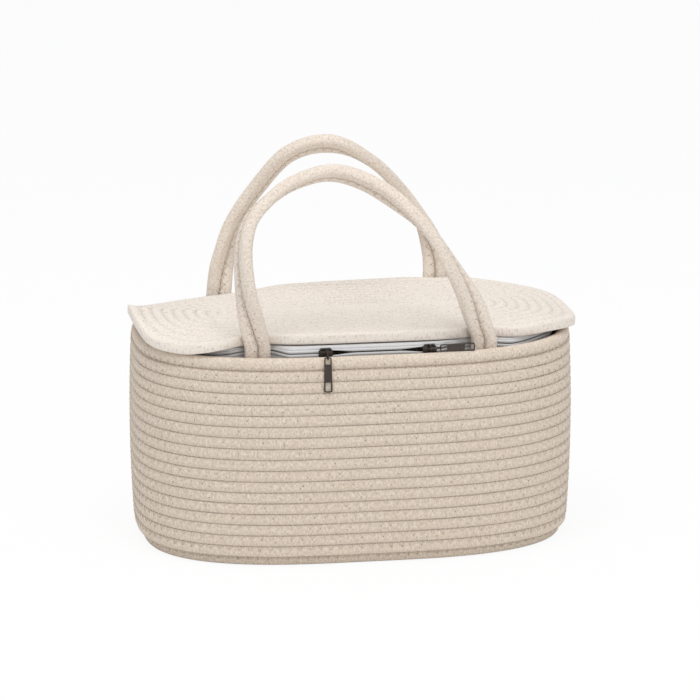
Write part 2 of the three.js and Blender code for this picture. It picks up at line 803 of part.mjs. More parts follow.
addPiece("rope_wall", makeWall(), clothBody);
addPiece("rope_base", makeBase(), clothBody);
addPiece("coiled_lid", makeLid(), clothLid);
addPiece("hinge_strip", makeHingeStrip(), clothTape);
addPiece("lower_zip_tape", makeLowerTape(), clothTape);
addPiece("upper_zip_tape", makeUpperTape(), clothTape);
addPiece("lower_zip_teeth", makeCoil(-1), coilPlastic);
addPiece("upper_zip_teeth", makeCoil(1), coilPlastic);
addPiece("left_zip_stop", makeZipStop(0), clothTape);
addPiece("right_zip_stop", makeZipStop(zipStations.length - 1), clothTape);

function addHandle(name, arch, twists, rise, centre, side) {
  const rope = (away) => makeHandleRope(arch, twists, rise, centre, side, away);
  addPiece(`${name}_outer_rope`, rope(1), clothBody);
  addPiece(`${name}_inner_rope`, rope(-1), clothBody);
  const [left, right] = footXs(centre);
  addPiece(`${name}_left_outer_end`, makeSewnEnd(left - ropeApart, side), clothBody);
  addPiece(`${name}_left_inner_end`, makeSewnEnd(left + ropeApart, side), clothBody);
  addPiece(`${name}_right_inner_end`, makeSewnEnd(right - ropeApart, side), clothBody);
  addPiece(`${name}_right_outer_end`, makeSewnEnd(right + ropeApart, side), clothBody);
}

addHandle("front_handle", frontArch, frontTwist, frontHandleRise, frontHandleX, -1);
addHandle("rear_handle", rearArch, rearTwist, rearHandleRise, rearHandleX, 1);

addPiece("left_slider", makeSlider(leftSliderX, false), gunmetal);
addPiece("right_slider", makeSlider(rightSliderX, true), gunmetal);
addPull("left", leftSliderX, false);
addPull("right", rightSliderX, true);

export default bag;
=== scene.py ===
"""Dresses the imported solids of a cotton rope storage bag: ropes, seams, zip and pulls."""

import math

import bpy
import numpy as np
from bpy.props import FloatProperty, FloatVectorProperty, IntProperty, PointerProperty
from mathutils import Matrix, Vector


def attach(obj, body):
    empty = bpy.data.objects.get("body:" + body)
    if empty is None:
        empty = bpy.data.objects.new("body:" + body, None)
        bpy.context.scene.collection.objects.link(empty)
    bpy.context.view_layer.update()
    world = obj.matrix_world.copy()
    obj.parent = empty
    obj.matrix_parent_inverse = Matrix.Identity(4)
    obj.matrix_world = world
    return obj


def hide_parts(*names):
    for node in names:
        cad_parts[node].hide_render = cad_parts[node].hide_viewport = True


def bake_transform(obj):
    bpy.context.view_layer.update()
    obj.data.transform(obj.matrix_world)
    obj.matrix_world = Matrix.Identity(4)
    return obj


bl_info = {
    "name": "Cotton Rope Bag",
    "version": (1, 0, 0),
    "blender": (4, 5, 0),
    "location": "View3D > Sidebar > Rope Bag",
    "description": "Builds the ropes, seams, zip and pulls of a coiled cotton rope bag",
    "category": "Add Mesh",
}

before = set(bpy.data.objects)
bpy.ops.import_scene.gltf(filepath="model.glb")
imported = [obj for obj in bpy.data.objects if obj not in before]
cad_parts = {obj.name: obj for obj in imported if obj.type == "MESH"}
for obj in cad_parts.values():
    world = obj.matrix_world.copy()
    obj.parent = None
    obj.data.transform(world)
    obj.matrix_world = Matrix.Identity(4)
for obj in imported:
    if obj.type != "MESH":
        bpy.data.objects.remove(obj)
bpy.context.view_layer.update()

MM = 0.001

# Sizes of the coiled body, in millimetres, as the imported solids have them
PITCH = 9.5
ROWS = 19
LOWEST_TALL = 8.6
RIM_TALL = 10.5
HALF_LENGTH = 190
HALF_DEPTH = 120
PLAN_FLAT = 40
PLAN_POWER = 2.66
WALL = 9.4
WIDEST = 100
END_TAPER = 2.9
TAPER_REACH = 90
BOTTOM_RADIUS = 16
BASE_TALL = 9
BASE_ROWS = 11
ROW_TALL = np.array([LOWEST_TALL, *[PITCH] * (ROWS - 2), RIM_TALL])
ROW_MIDDLE = np.cumsum(ROW_TALL) - ROW_TALL / 2
RIM_TOP = RIM_TALL + PITCH * (ROWS - 2) + LOWEST_TALL

# Sizes of the lid
LID_ROPE = 9
LID_RIGHT = HALF_LENGTH + 3.2
LID_LEFT = HALF_LENGTH + 1.4
LID_FRONT = HALF_DEPTH - 23
LID_REAR = HALF_DEPTH - 27
LID_CORE = (LID_FRONT + LID_REAR) / 2
LID_LIFT = 6
LID_EDGE_POWER = 7
LID_ROWS = 10
LID_END_X = 125
DENT_WIDTH = 18
DENT_FADE = 30
LID_BULGE = 7.5
BULGE_X = -134
BULGE_WIDTH = 21

# Sizes of the handles
HANDLE_ROPE = 10.5
HANDLE_HALF = HANDLE_ROPE / 2
ROPE_APART = (HANDLE_ROPE + 0.3) / 2
FOOT_SPACING = 193
FRONT_X = 3
REAR_X = -5.5
LEAN = 23
BOW = 9
LEAN_POWER = 4
PIVOT_Z = RIM_TOP + 6.4
SEWN_DEPTH = 36
FOOT_SHARE = 0.15

# Sizes of the zip
ZIP_Z = RIM_TOP + 1.4
ZIP_INSET = 5.4
STRAIGHT_LEFT = 66.5
STRAIGHT_RIGHT = 57.5
LEG_FADE = 27
LEG_REACH = 10
COIL_HALF = 1.2
COIL_TALL = 2.2
COIL_SLIT = 1.8
COIL_FAR = COIL_SLIT / 2 + COIL_TALL
TAPE_THICK = 0.8
TAPE_WIDTH = 17
ZIP_TUCK = 5.2
ZIP_END_X = 123
HINGE_HALF = 74
SEAM = 0.3
CLOTH_ROOM = 0.9
CLOTH_THICK = 0.5
RUNNING = 1.2

# Places and sizes of the sliders and pulls
LEFT_X = -37.8
RIGHT_X = 50.6
PLATE_FRONT = 3.2
PLATE_BACK = 2.8
PLATE = 1
PLATE_HALF = 6
CROWN_REACH = 4.2
CROWN_SUNK = 0.3
CROWN_Y = PLATE_FRONT + CROWN_REACH
CROWN_BAR = 1.1
CROWN_RISE = 2.5
UPRIGHT_RISE = 2.3
UPRIGHT_REACH = 2.9
LINK_PIVOTS = 8.4
LINK_WIRE = 1
LINK_ROOM = 1.15
LINK_SLOPE = 20
TAB_LENGTH = 30
TAB_THICK = 1.2
TAB_FRAME = 1.1
TAB_EYE = 5.2
TAB_WINDOW = 7.6
TAB_HANG = 3.5
TAB_NEAR_HALF, TAB_FAR_HALF = 3.0, 3.6

# A coil climbs to its next row within this share of a turn, at the rear of the bag
JOG = 0.07
START_TURN = math.radians(100)

# Steps in one turn of a coil, how many its end stops short of a full turn, and a hair of
# turn that keeps the steps off the corners of the plan
TURN_STEPS = 900
STEPS_SHORT = 8
TURN_SHIFT = 1e-4


# Plan and profile of the body

# The straight stretches of the plan take this share of the turn's cosine
STRAIGHT_SHARE = 0.02


def smooth(start, end, value):
    share = np.clip((value - start) / (end - start), 0, 1)
    return share * share * (3 - 2 * share)


def signed_power(value, power):
    return np.sign(value) * np.abs(value) ** power


def bell(x, centre, width):
    return np.exp(-(((x - centre) / width) ** 2))


def upward(heights):
    """Vectors straight up with the given lengths."""
    return np.multiply.outer(heights, [0.0, 0.0, 1.0])


def body_shift(z):
    """How far the wall stands out (+) or in (-) at a height."""
    return -END_TAPER * ((z - WIDEST) / TAPER_REACH) ** 2


def outline(turn, offset):
    """Plan of the body at the given turns, moved out or in by the offset."""
    c, s = np.cos(turn), np.sin(turn)
    reach = HALF_LENGTH + offset - PLAN_FLAT / 2
    straight = PLAN_FLAT / 2 * np.clip(c / STRAIGHT_SHARE, -1, 1)
    x = straight + reach * signed_power(c, 2 / PLAN_POWER)
    y = np.maximum(HALF_DEPTH + offset, 0) * signed_power(s, 2 / PLAN_POWER)
    return np.stack([x, y, np.zeros_like(x)], -1)


def depth_at(x, offset):
    """Half depth of the outline at a place along the bag."""
    reach = HALF_LENGTH + offset - PLAN_FLAT / 2
    along = np.clip((np.abs(x) - PLAN_FLAT / 2) / reach, 0, 1)
    return (HALF_DEPTH + offset) * (1 - along**PLAN_POWER) ** (1 / PLAN_POWER)


def under_curve(z):
    """How far the lowest rows are drawn in under the bag."""
    down = np.maximum(0, BOTTOM_RADIUS - z)
    return BOTTOM_RADIUS - np.sqrt(BOTTOM_RADIUS**2 - down**2)


INNER_SHIFT = -WALL + body_shift(RIM_TOP - WALL / 2)
BASE_FIRST = -WALL / 2 - under_curve(LOWEST_TALL / 2) + body_shift(LOWEST_TALL / 2)
BASE_PITCH = (HALF_DEPTH + BASE_FIRST - SEAM) / (BASE_ROWS + 0.5)


def foot_xs(centre):
    return [centre - FOOT_SPACING / 2, centre + FOOT_SPACING / 2]


def rope_seat(x):
    """Depth at which a handle's rope stands just inside the wall."""
    slope = (depth_at(x - 1, INNER_SHIFT) - depth_at(x + 1, INNER_SHIFT)) / 2
    return depth_at(x, INNER_SHIFT) - (HANDLE_HALF + SEAM) * math.hypot(1, slope) - SEAM


HANDLE_Y = min(rope_seat(abs(x) + ROPE_APART) for x in foot_xs(FRONT_X) + foot_xs(REAR_X))


# Outline and height of the lid

# Fullness of the outline's quarters, left and right
FRONT_FULLNESS = (4.2, 3.0)
REAR_FULLNESS = (2.2, 3.0)


def lid_side(x, y):
    """Fullness, half length and half depth of the lid's quarters."""
    left, front = x < 0, y < 0
    power = np.where(front, np.where(left, *FRONT_FULLNESS), np.where(left, *REAR_FULLNESS))
    return power, np.where(left, LID_LEFT, LID_RIGHT), np.where(front, LID_FRONT, LID_REAR)


def lid_depth_at(x, y):
    power, reach, depth = lid_side(x, y)
    return depth * (1 - np.clip(np.abs(x) / reach, 0, 1) ** power) ** (1 / power)


def leg_dents():
    """Place, side and depth of the dent behind each handle leg."""
    near = bell(ROPE_APART, 0, DENT_WIDTH)
    wide = ROPE_APART + HANDLE_HALF / 2
    for centre, side in ((FRONT_X, -1.0), (REAR_X, 1.0)):
        for foot in foot_xs(centre):
            widest = max(lid_depth_at(np.float64(foot + w), side) for w in (-wide, wide))
            yield foot, side, max(0, widest - (HANDLE_Y - HANDLE_HALF - RUNNING)) / near


LEG_DENTS = list(leg_dents())


def leg_dent(x, y):
    """How far the legs press the lid's edge in, less its bulge at the front left."""
    dent = np.zeros_like(x)
    for foot, side, deep in LEG_DENTS:
        dent = np.where(y * side > 0, np.maximum(dent, deep * bell(x, foot, DENT_WIDTH)), dent)
    return dent - np.where(y < 0, LID_BULGE * bell(x, BULGE_X, BULGE_WIDTH), 0)


# Height of the lid's edge above the rim, by the turn in degrees from the right tip by the rear
EDGE_LIFTS = np.array([
    [0, -2.4], [22, 1], [38, 3], [53, 6], [67, 9.2], [80, 8.6], [92, 7.2], [103, 6],
    [113, 2.2], [130, 1], [150, 2.5], [166, 8], [180, 15], [192, 12.5], [204, 5.5],
    [216, 1.8], [232, 0.6], [243, 3.4], [255, 7.8], [270, 7.2], [290, 6.2], [303, 4],
    [320, 4.4], [338, 2],
])


def edge_marks():
    """Turns, lifts and slopes of the lid's edge, run on past both ends of the turn."""
    at = np.concatenate([EDGE_LIFTS[-2:, 0] - 360, EDGE_LIFTS[:, 0], EDGE_LIFTS[:3, 0] + 360])
    lift = np.concatenate([EDGE_LIFTS[-2:, 1], EDGE_LIFTS[:, 1], EDGE_LIFTS[:3, 1]])
    slope = np.zeros_like(lift)
    slope[1:-1] = (lift[2:] - lift[:-2]) / (at[2:] - at[:-2])
    return at, lift, slope


EDGE_MARKS = edge_marks()


def edge_lift(degrees):
    at, lift, slope = EDGE_MARKS
    turn = degrees % 360
    k = np.clip(np.searchsorted(at, turn, side="right") - 1, 1, len(at) - 3)
    gap = at[k + 1] - at[k]
    s = (turn - at[k]) / gap
    return (
        (2 * s**3 - 3 * s**2 + 1) * lift[k]
        + (s**3 - 2 * s**2 + s) * gap * slope[k]
        + (3 * s**2 - 2 * s**3) * lift[k + 1]
        + (s**3 - s**2) * gap * slope[k + 1]
    )


def lid_under(x, y):
    """Height of the lid's underside over a place of the plan."""
    power, reach, depth = lid_side(x, y)
    across = (np.abs(x) / reach) ** power
    along = (np.abs(y) / depth) ** power
    out = np.minimum(1, (across + along) ** (1 / power))
    turn = np.arctan2(np.sign(y) * np.sqrt(along), np.sign(x) * np.sqrt(across))
    lift = edge_lift(np.degrees(turn))
    return RIM_TOP + LID_LIFT + (lift - LID_LIFT) * out**LID_EDGE_POWER


def lid_point(turn, inset):
    """A point of the lid's underside, inset from the edge along the rows."""
    c, s = np.cos(turn), np.sin(turn)
    power, reach, depth = lid_side(c, s)
    x = (reach - inset) * signed_power(c, 2 / power)
    full = depth * (1 - inset / LID_CORE) * np.abs(s) ** (2 / power)
    dent = leg_dent(x, s) * np.clip(1 - inset / DENT_FADE, 0, 1)
    y = np.sign(s) * np.maximum(0, full - dent)
    return np.stack([x, y, lid_under(x, y)], -1)


# Paths


def lengths(points):
    steps = np.linalg.norm(np.diff(points, axis=0), axis=1)
    return np.concatenate([[0], np.cumsum(steps)])


def resampled(marks, run, *arrays):
    picked = []
    for array in arrays:
        flat = array.reshape(len(array), -1)
        columns = [np.interp(marks, run, column) for column in flat.T]
        picked.append(np.stack(columns, 1).reshape(len(marks), *array.shape[1:]))
    return picked


def unit(vectors):
    return vectors / np.linalg.norm(vectors, axis=-1, keepdims=True)


def tangents(points):
    return unit(np.gradient(points, axis=0))


def coil_turns(rows):
    """Turn and row number along a coil, with both of its ends run past their climbs."""
    steps = np.arange(int(-JOG * TURN_STEPS), int(rows * TURN_STEPS) - STEPS_SHORT)
    progress = steps / TURN_STEPS
    row = np.floor(progress)
    share = progress - row
    level = np.clip(row + smooth(1 - JOG, 1, share), 0, rows - 1)
    return START_TURN + 2 * np.pi * share + TURN_SHIFT, level


def between(outer, inner, z, tall):
    """Centre, outward half vector and upward half vector of a rope between two outlines."""
    centre = (outer + inner) / 2
    centre[:, 2] += z
    return centre, (outer - inner) / 2, upward(np.broadcast_to(tall, len(centre)))


def wall_place(turn, level):
    """Centre, outward half vector and upward half vector of the wall's rope."""
    rows = np.arange(ROWS)
    z = np.interp(level, rows, ROW_MIDDLE)
    w = -WALL / 2 - under_curve(z) + body_shift(z)
    half = np.interp(level, rows, ROW_TALL / 2)
    return between(outline(turn, w + WALL / 2), outline(turn, w - WALL / 2), z, half)


def base_place(turn, level):
    """Centre, downward half vector and outward half vector of the base's rope."""
    w = BASE_FIRST - BASE_PITCH * (BASE_ROWS - level)
    outer, inner = outline(turn, w + BASE_PITCH / 2), outline(turn, w - BASE_PITCH / 2)
    centre, out, up = between(outer, inner, BASE_TALL / 2, BASE_TALL / 2)
    return centre, -up, out


# Extra width of the lid's innermost row, so that its two runs meet
MIDDLE_OVERLAP = 0.22


def lid_place(turn, level):
    """Centre, upward half vector and outward half vector of the lid's rope."""
    inset = LID_ROPE / 2 + PITCH * (LID_ROWS - 1 - level)
    outer, inner = lid_point(turn, inset - PITCH / 2), lid_point(turn, inset + PITCH / 2)
    centre, out, up = between(outer, inner, LID_ROPE / 2, LID_ROPE / 2)
    return centre, up, out * (1 + MIDDLE_OVERLAP * np.clip(1 - level, 0, 1))[:, None]


# Meshes

ROPE_SIDES = 14
# Length of a rope's rounded end, where its sections are closer together
ROPE_END = 5.0
END_MARKS = ROPE_END * np.array([0, 0.04, 0.15, 0.35, 0.65])
# Smallest section of a rounded end, as a share of the full one
END_SCALE = 0.15


def made_mesh(name, points, faces, uv=None, smooth_faces=True):
    """A mesh object from points in millimetres, with an optional map from face corners."""
    mesh = bpy.data.meshes.new(name)
    mesh.from_pydata((np.asarray(points) * MM).tolist(), [], [list(f) for f in faces])
    if uv is not None:
        layer = mesh.uv_layers.new(name="rope")
        layer.data.foreach_set("uv", np.asarray(uv, np.float32).ravel())
    if smooth_faces:
        mesh.shade_smooth()
    mesh.update()
    obj = bpy.data.objects.new(name, mesh)
    bpy.context.scene.collection.objects.link(obj)
    return obj


def swept(centre, face, side, squareness, sides, closed=False, ends=0.0):
    """Points, faces and map of a tube whose sections have the given half vectors."""
    count = len(centre)
    run = lengths(centre)
    if ends:
        bulge = np.clip(np.minimum(run, run[-1] - run) / ends, 0, 1)
        scale = np.maximum(END_SCALE, np.sqrt(1 - (1 - bulge) ** 2))[:, None]
        face, side = face * scale, side * scale
    turn = np.pi + 2 * np.pi * np.arange(sides) / sides
    power = (2 / np.broadcast_to(squareness, (count,)))[:, None]
    c = signed_power(np.cos(turn)[None, :], power)[..., None]
    s = signed_power(np.sin(turn)[None, :], power)[..., None]
    points = centre[:, None] + face[:, None] * c + side[:, None] * s
    first = np.arange(count if closed else count - 1)[:, None]
    k = np.arange(sides)[None, :]
    beside = (k + 1) % sides
    near, far = first * sides, (first + 1) % count * sides
    quads = np.stack([near + k, near + beside, far + beside, far + k], -1).reshape(-1, 4)
    step = np.append(np.diff(run), np.linalg.norm(centre[0] - centre[-1]))
    u0 = np.broadcast_to(run[first] * MM, (len(first), sides))
    u1 = u0 + step[first] * MM
    v0 = np.broadcast_to(k / sides, u0.shape)
    v1 = v0 + 1 / sides
    uv = np.stack([u0, v0, u0, v1, u1, v1, u1, v0], -1).reshape(-1, 4, 2)
    handed = np.sum(np.cross(face, side) * np.gradient(centre, axis=0), axis=1).mean()
    if handed > 0:
        quads, uv = quads[:, ::-1], uv[:, ::-1]
    faces, uv = quads.tolist(), uv.reshape(-1, 2)
    if not closed:
        start, end = list(range(sides)), list(range((count - 1) * sides, count * sides))
        faces += [start, end[::-1]] if handed > 0 else [start[::-1], end]
        caps = np.repeat([[0, 0.5], [run[-1] * MM, 0.5]], sides, axis=0)
        uv = np.concatenate([uv, caps])
    return points.reshape(-1, 3), faces, uv


def rope(name, centre, face, side, squareness, spacing=5.0):
    """A rope along a path, with rounded ends."""
    run = lengths(centre)
    total = run[-1]
    middle = np.linspace(ROPE_END, total - ROPE_END, max(2, int(total / spacing)))
    marks = np.concatenate([END_MARKS, middle, (total - END_MARKS)[::-1]])
    square = np.broadcast_to(squareness, (len(centre),)).astype(float)
    centre, face, side, square = resampled(marks, run, centre, face, side, square)
    return made_mesh(name, *swept(centre, face, side, square, ROPE_SIDES, ends=ROPE_END))


def joined(parts):
    """Several sets of points, faces and map as one."""
    faces, base = [], 0
    for points, part_faces, _ in parts:
        faces += [[base + i for i in face] for face in part_faces]
        base += len(points)
    points, _, maps = zip(*parts)
    return np.concatenate(points), faces, np.concatenate(maps)


def cut_plate(outlines, thickness, bevel):
    """A flat plate with rounded edges: the first outline is its rim, the others its holes."""
    curve = bpy.data.curves.new("plate", "CURVE")
    curve.dimensions = "2D"
    curve.fill_mode = "BOTH"
    curve.extrude = max(1e-5, (thickness / 2 - bevel) * MM)
    curve.bevel_depth = bevel * MM
    curve.bevel_resolution = 2
    curve.offset = -bevel * MM
    for marks in outlines:
        spline = curve.splines.new("POLY")
        spline.points.add(len(marks) - 1)
        for point, (x, y) in zip(spline.points, marks):
            point.co = (x * MM, y * MM, 0, 1)
        spline.use_cyclic_u = True
    shape = bpy.data.objects.new("plate", curve)
    bpy.context.scene.collection.objects.link(shape)
    depsgraph = bpy.context.evaluated_depsgraph_get()
    mesh = bpy.data.meshes.new_from_object(shape.evaluated_get(depsgraph))
    points = np.zeros(len(mesh.vertices) * 3)
    mesh.vertices.foreach_get("co", points)
    faces = [list(p.vertices) for p in mesh.polygons]
    bpy.data.objects.remove(shape)
    bpy.data.curves.remove(curve)
    bpy.data.meshes.remove(mesh)
    return points.reshape(-1, 3) / MM, faces, np.zeros((sum(map(len, faces)), 2))


def rounded_box(x0, x1, y0, y1, radius, steps=4):
    """Outline of a rectangle with rounded corners."""
    points = []
    for x, y, turn in ((x1, y1, 0), (x0, y1, 90), (x0, y0, 180), (x1, y0, 270)):
        cx = x - radius if x == x1 else x + radius
        cy = y - radius if y == y1 else y + radius
        for k in range(steps + 1):
            a = math.radians(turn + 90 * k / steps)
            points.append((cx + radius * math.cos(a), cy + radius * math.sin(a)))
    return points


# Materials

WHITE = (1, 1, 1, 1)


class Field:
    """A number that varies over a surface; arithmetic on it adds Math nodes."""

    def __init__(self, paint, socket):
        self.paint = paint
        self.socket = socket

    def math(self, operation, *others):
        values = dict(enumerate((self, *others)))
        return self.paint.node("ShaderNodeMath", {"operation": operation}, values)

    def __add__(self, other):
        return self.math("ADD", other)

    def __sub__(self, other):
        return self.math("SUBTRACT", other)

    def __rsub__(self, other):
        return (self * -1) + other

    def __mul__(self, other):
        return self.math("MULTIPLY", other)

    __radd__, __rmul__ = __add__, __mul__

    def clamped(self, low=0):
        return self.math("MAXIMUM", low).math("MINIMUM", 1)


class Paint:
    """A material or a world under construction."""

    def __init__(self, name, owners=None):
        self.owner = (bpy.data.materials if owners is None else owners).new(name)
        self.owner.use_nodes = True
        self.tree = self.owner.node_tree
        self.tree.nodes.clear()

    def node(self, kind, settings=None, values=None, output=0):
        """A node with its settings, then the values or links of its sockets."""
        made = self.tree.nodes.new(kind)
        for key, value in (settings or {}).items():
            setattr(made, key, value)
        for key, value in (values or {}).items():
            if isinstance(value, Field):
                self.tree.links.new(value.socket, made.inputs[key])
            else:
                made.inputs[key].default_value = value
        return Field(self, made.outputs[output]) if made.outputs else made

    def mixed(self, factor, first, second):
        """Two colours mixed by a factor."""
        first, second = (c if isinstance(c, Field) else (*c[:3], 1) for c in (first, second))
        values = {0: factor, 6: first, 7: second}
        return self.node("ShaderNodeMix", {"data_type": "RGBA"}, values, output=2)

    def axis(self, vector, number):
        """One coordinate of a vector, by its number."""
        return self.node("ShaderNodeSeparateXYZ", None, {0: vector}, number)

    def place(self):
        """The object's own coordinates."""
        return self.node("ShaderNodeTexCoord", output=3)

    def rope_map(self):
        """The map of a rope: metres along it and the share of the way round it."""
        uv = self.node("ShaderNodeUVMap", {"uv_map": "rope"})
        return self.axis(uv, 0), self.axis(uv, 1)

    def noise(self, where, scale, detail=2.0, rough=0.5):
        values = {"Vector": where, "Scale": scale, "Detail": detail, "Roughness": rough}
        return self.node("ShaderNodeTexNoise", None, values)

    def bumped(self, height, distance, strength=1.0):
        values = {"Height": height, "Distance": distance, "Strength": strength}
        return self.node("ShaderNodeBump", None, values)

    def finish(self, **values):
        """The surface shader and its output."""
        named = {key.replace("_", " "): value for key, value in values.items()}
        surface = self.node("ShaderNodeBsdfPrincipled", None, named)
        self.node("ShaderNodeOutputMaterial", None, {"Surface": surface})
        return self.owner


def shaded(colour, share):
    return [c * share for c in colour]


# Noise scales of the cotton's fibre, flecks, patches and the breaks in its painted groove
# shade, in cycles per metre
FIBRE, FLECKS, PATCHES, SHADE_BREAKS = 2400, 620, 45, 16
# Radius at which the patterns wrap round a rope, in metres
WRAP_RADIUS = 0.005
# Levels of the noise over which a fleck is dark and under which it is a pale fleck of painted
# highlight
DARK_OVER, HIGHLIGHT_UNDER = 0.6, 0.42
# Sine of the turn round a rope where the painted shade of its groove starts, and how fast that
# shade darkens
GROOVE_START, GROOVE_GAIN = 0.64, 4.5
# Least painted groove shade between two dashes and where the shade is broken up at random
DASH_LEAST, BREAK_LEAST = 0.15, 0.1


def cotton(name, colour, shade, groove_shade_strength, braid, settings):
    """Braided cotton rope: diamond braid, soft fibre, flecks and dashed painted groove shade.
    """
    paint = Paint(name)
    along, around = paint.rope_map()
    turn = around * (2 * math.pi)
    ring = paint.node("ShaderNodeCombineXYZ", None, {
        0: along, 1: turn.math("COSINE") * WRAP_RADIUS, 2: turn.math("SINE") * WRAP_RADIUS,
    })
    lean = along * (math.pi / settings.braid_length)
    wrap = around * (math.pi * settings.strands)
    strand = ((lean + wrap).math("SINE") * (lean - wrap).math("SINE")).math("ABSOLUTE")
    fibre = paint.noise(ring, FIBRE, 3.0, 0.6)
    fleck = paint.noise(ring, FLECKS, 1.0)
    base = paint.mixed(paint.noise(ring, PATCHES) * 0.6, colour, shade)
    # Darker between the braid's strands: painted shade in its crevices; the fibre noise varies
    # the tone at random
    base = paint.mixed((1 - strand) * (braid * 0.2) + fibre * 0.12, base, shade)
    dark = fleck.math("GREATER_THAN", DARK_OVER) * settings.flecks
    base = paint.mixed(dark, base, settings.fleck_colour)
    # Pale flecks: painted highlights on the braid's fibres
    pale = fleck.math("LESS_THAN", HIGHLIGHT_UNDER) * settings.flecks * 1.3
    base = paint.mixed(pale, base, settings.highlight_fleck_colour)
    # Grooves between the rows: painted shade, in dashes, broken up at random, only below the
    # rim
    beside = turn.math("SINE").math("ABSOLUTE")
    groove = ((beside - GROOVE_START) * GROOVE_GAIN).clamped()
    dash = (along * (math.pi / settings.dash_length)).math("SINE").math("ABSOLUTE")
    dashes = (dash * 2.4 - 0.7).clamped(DASH_LEAST)
    broken = (paint.noise(ring, SHADE_BREAKS, 1.0) * 3 - 0.85).clamped(BREAK_LEAST)
    below_rim = paint.axis(paint.place(), 2).math("LESS_THAN", (RIM_TOP - RIM_TALL) * MM)
    # Where the painted groove shade falls: along the seams, in dashes, below the rim
    sewn = groove * dashes * broken * below_rim
    return paint.finish(
        Base_Color=paint.mixed(sewn * groove_shade_strength, base, settings.recess_shade_colour),
        Roughness=0.93 - strand * 0.08,
        Normal=paint.bumped(strand * 0.7 + fibre * 0.3, settings.braid_depth, braid),
        Specular_IOR_Level=0.25,
        Sheen_Weight=0.12,
        Sheen_Roughness=0.6,
    )


def thread_material(name, colour, settings):
    paint = Paint(name)
    along, around = paint.rope_map()
    ply = (along * 5200 + around * (2 * math.pi)).math("SINE")
    return paint.finish(
        # The thread is darkened towards the recess shade colour, more in stripes along its ply:
        # painted shade in the twist
        Base_Color=paint.mixed(ply * 0.05 + 0.08, colour, settings.recess_shade_colour),
        Roughness=0.75 + ply * 0.05,
        Normal=paint.bumped(ply, 0.0001, 0.5),
    )


def hole_shade_material(settings):
    # Needle holes: flat dark dots that paint the shade inside the holes
    colour = (*settings.recess_shade_colour, 1)
    paint = Paint("needle holes")
    return paint.finish(Base_Color=colour, Roughness=0.95, Specular_IOR_Level=0.1)


# Distance between two ribs of the tape, in metres
TAPE_RIB = 0.0009


def woven(colour):
    """Ribbed woven tape, mapped in metres along and across."""
    paint = Paint("zip tape")
    along, across = paint.rope_map()
    warp = (across * (2 * math.pi / TAPE_RIB)).math("SINE")
    weft = (along * (2 * math.pi / TAPE_RIB) + warp * 0.7).math("SINE")
    cloth = warp * weft
    where = paint.node("ShaderNodeCombineXYZ", None, {0: along, 1: across})
    base = paint.mixed(paint.noise(where, 60) * 0.35, colour, shaded(colour, 0.86))
    return paint.finish(
        Base_Color=paint.mixed(0.12 - cloth * 0.1, base, shaded(colour, 0.6)),
        Roughness=0.8 + cloth * 0.06,
        Normal=paint.bumped(cloth, 0.00012, 0.6),
        Sheen_Weight=0.1,
    )


def folded_cloth(colour):
    """Plain cloth of the zip's folded stops, placed by the object's own coordinates."""
    paint = Paint("folded tape")
    place = paint.place()
    across, along = ((paint.axis(place, n) * 7000).math("SINE") for n in (2, 0))
    rib = across * along
    return paint.finish(
        Base_Color=paint.mixed(0.2 - rib * 0.15, colour, shaded(colour, 0.6)),
        Roughness=0.85 + rib * 0.04,
        Normal=paint.bumped(rib, 0.0001, 0.5),
    )


def coil_material(settings):
    paint = Paint("zip coil")
    along, _ = paint.rope_map()
    rib = (along * (2 * math.pi / settings.tooth_pitch)).math("COSINE")
    colour = settings.coil_colour
    base = paint.mixed(0.5 - rib * 0.5, colour, shaded(colour, 0.86))
    return paint.finish(Base_Color=base, Roughness=0.45 - rib * 0.05)


def metal(settings):
    """Dark plated metal, lighter in patches at random: painted reflection."""
    paint = Paint("gunmetal")
    place = paint.place()
    haze = paint.noise(place, 320, 3.0)
    return paint.finish(
        Base_Color=paint.mixed(haze * 0.3, settings.metal_colour, settings.reflection_colour),
        Metallic=1.0,
        Roughness=haze * 0.2 + 0.22,
        Normal=paint.bumped(paint.noise(place, 1800), 0.00004, 0.4),
    )


# Share of the floor that reads white to the camera
FLOOR_WHITE = 0.9


def floor_material(colour):
    """A pale floor that keeps the bag's shadow and reads near white to the camera."""
    paint = Paint("studio floor")
    base = paint.mixed(paint.noise(paint.place(), 3), colour, shaded(colour, 0.985))
    matt = paint.node("ShaderNodeBsdfDiffuse", None, {"Color": base})
    white = paint.node("ShaderNodeEmission", None, {"Color": WHITE, "Strength": 1.0})
    seen = paint.node("ShaderNodeLightPath")
    mixed = paint.node("ShaderNodeMixShader", None, {0: seen * FLOOR_WHITE, 1: matt, 2: white})
    paint.node("ShaderNodeOutputMaterial", None, {"Surface": mixed})
    return paint.owner


def sky_world(level):
    """An even sky that reads white to the camera."""
    paint = Paint("studio sky", bpy.data.worlds)
    colour = (0.97, 0.985, 1.0, 1)
    sky = paint.node("ShaderNodeBackground", None, {"Color": colour, "Strength": level})
    white = paint.node("ShaderNodeBackground", None, {"Color": WHITE})
    seen = paint.node("ShaderNodeLightPath")
    both = paint.node("ShaderNodeMixShader", None, {0: seen, 1: sky, 2: white})
    paint.node("ShaderNodeOutputWorld", None, {"Surface": both})
    return paint.owner


# Settings


def number_of(name, description, default, kind=FloatProperty, **more):
    return kind(name=name, description=description, default=default, **more)


def colour_of(*words):
    return number_of(*words, FloatVectorProperty, subtype="COLOR", size=3, min=0, max=1)


def length_of(*words):
    return number_of(*words, unit="LENGTH", subtype="DISTANCE", min=0, precision=5)


def share_of(*words, low=0, high=1):
    return number_of(*words, subtype="FACTOR", min=low, max=high)


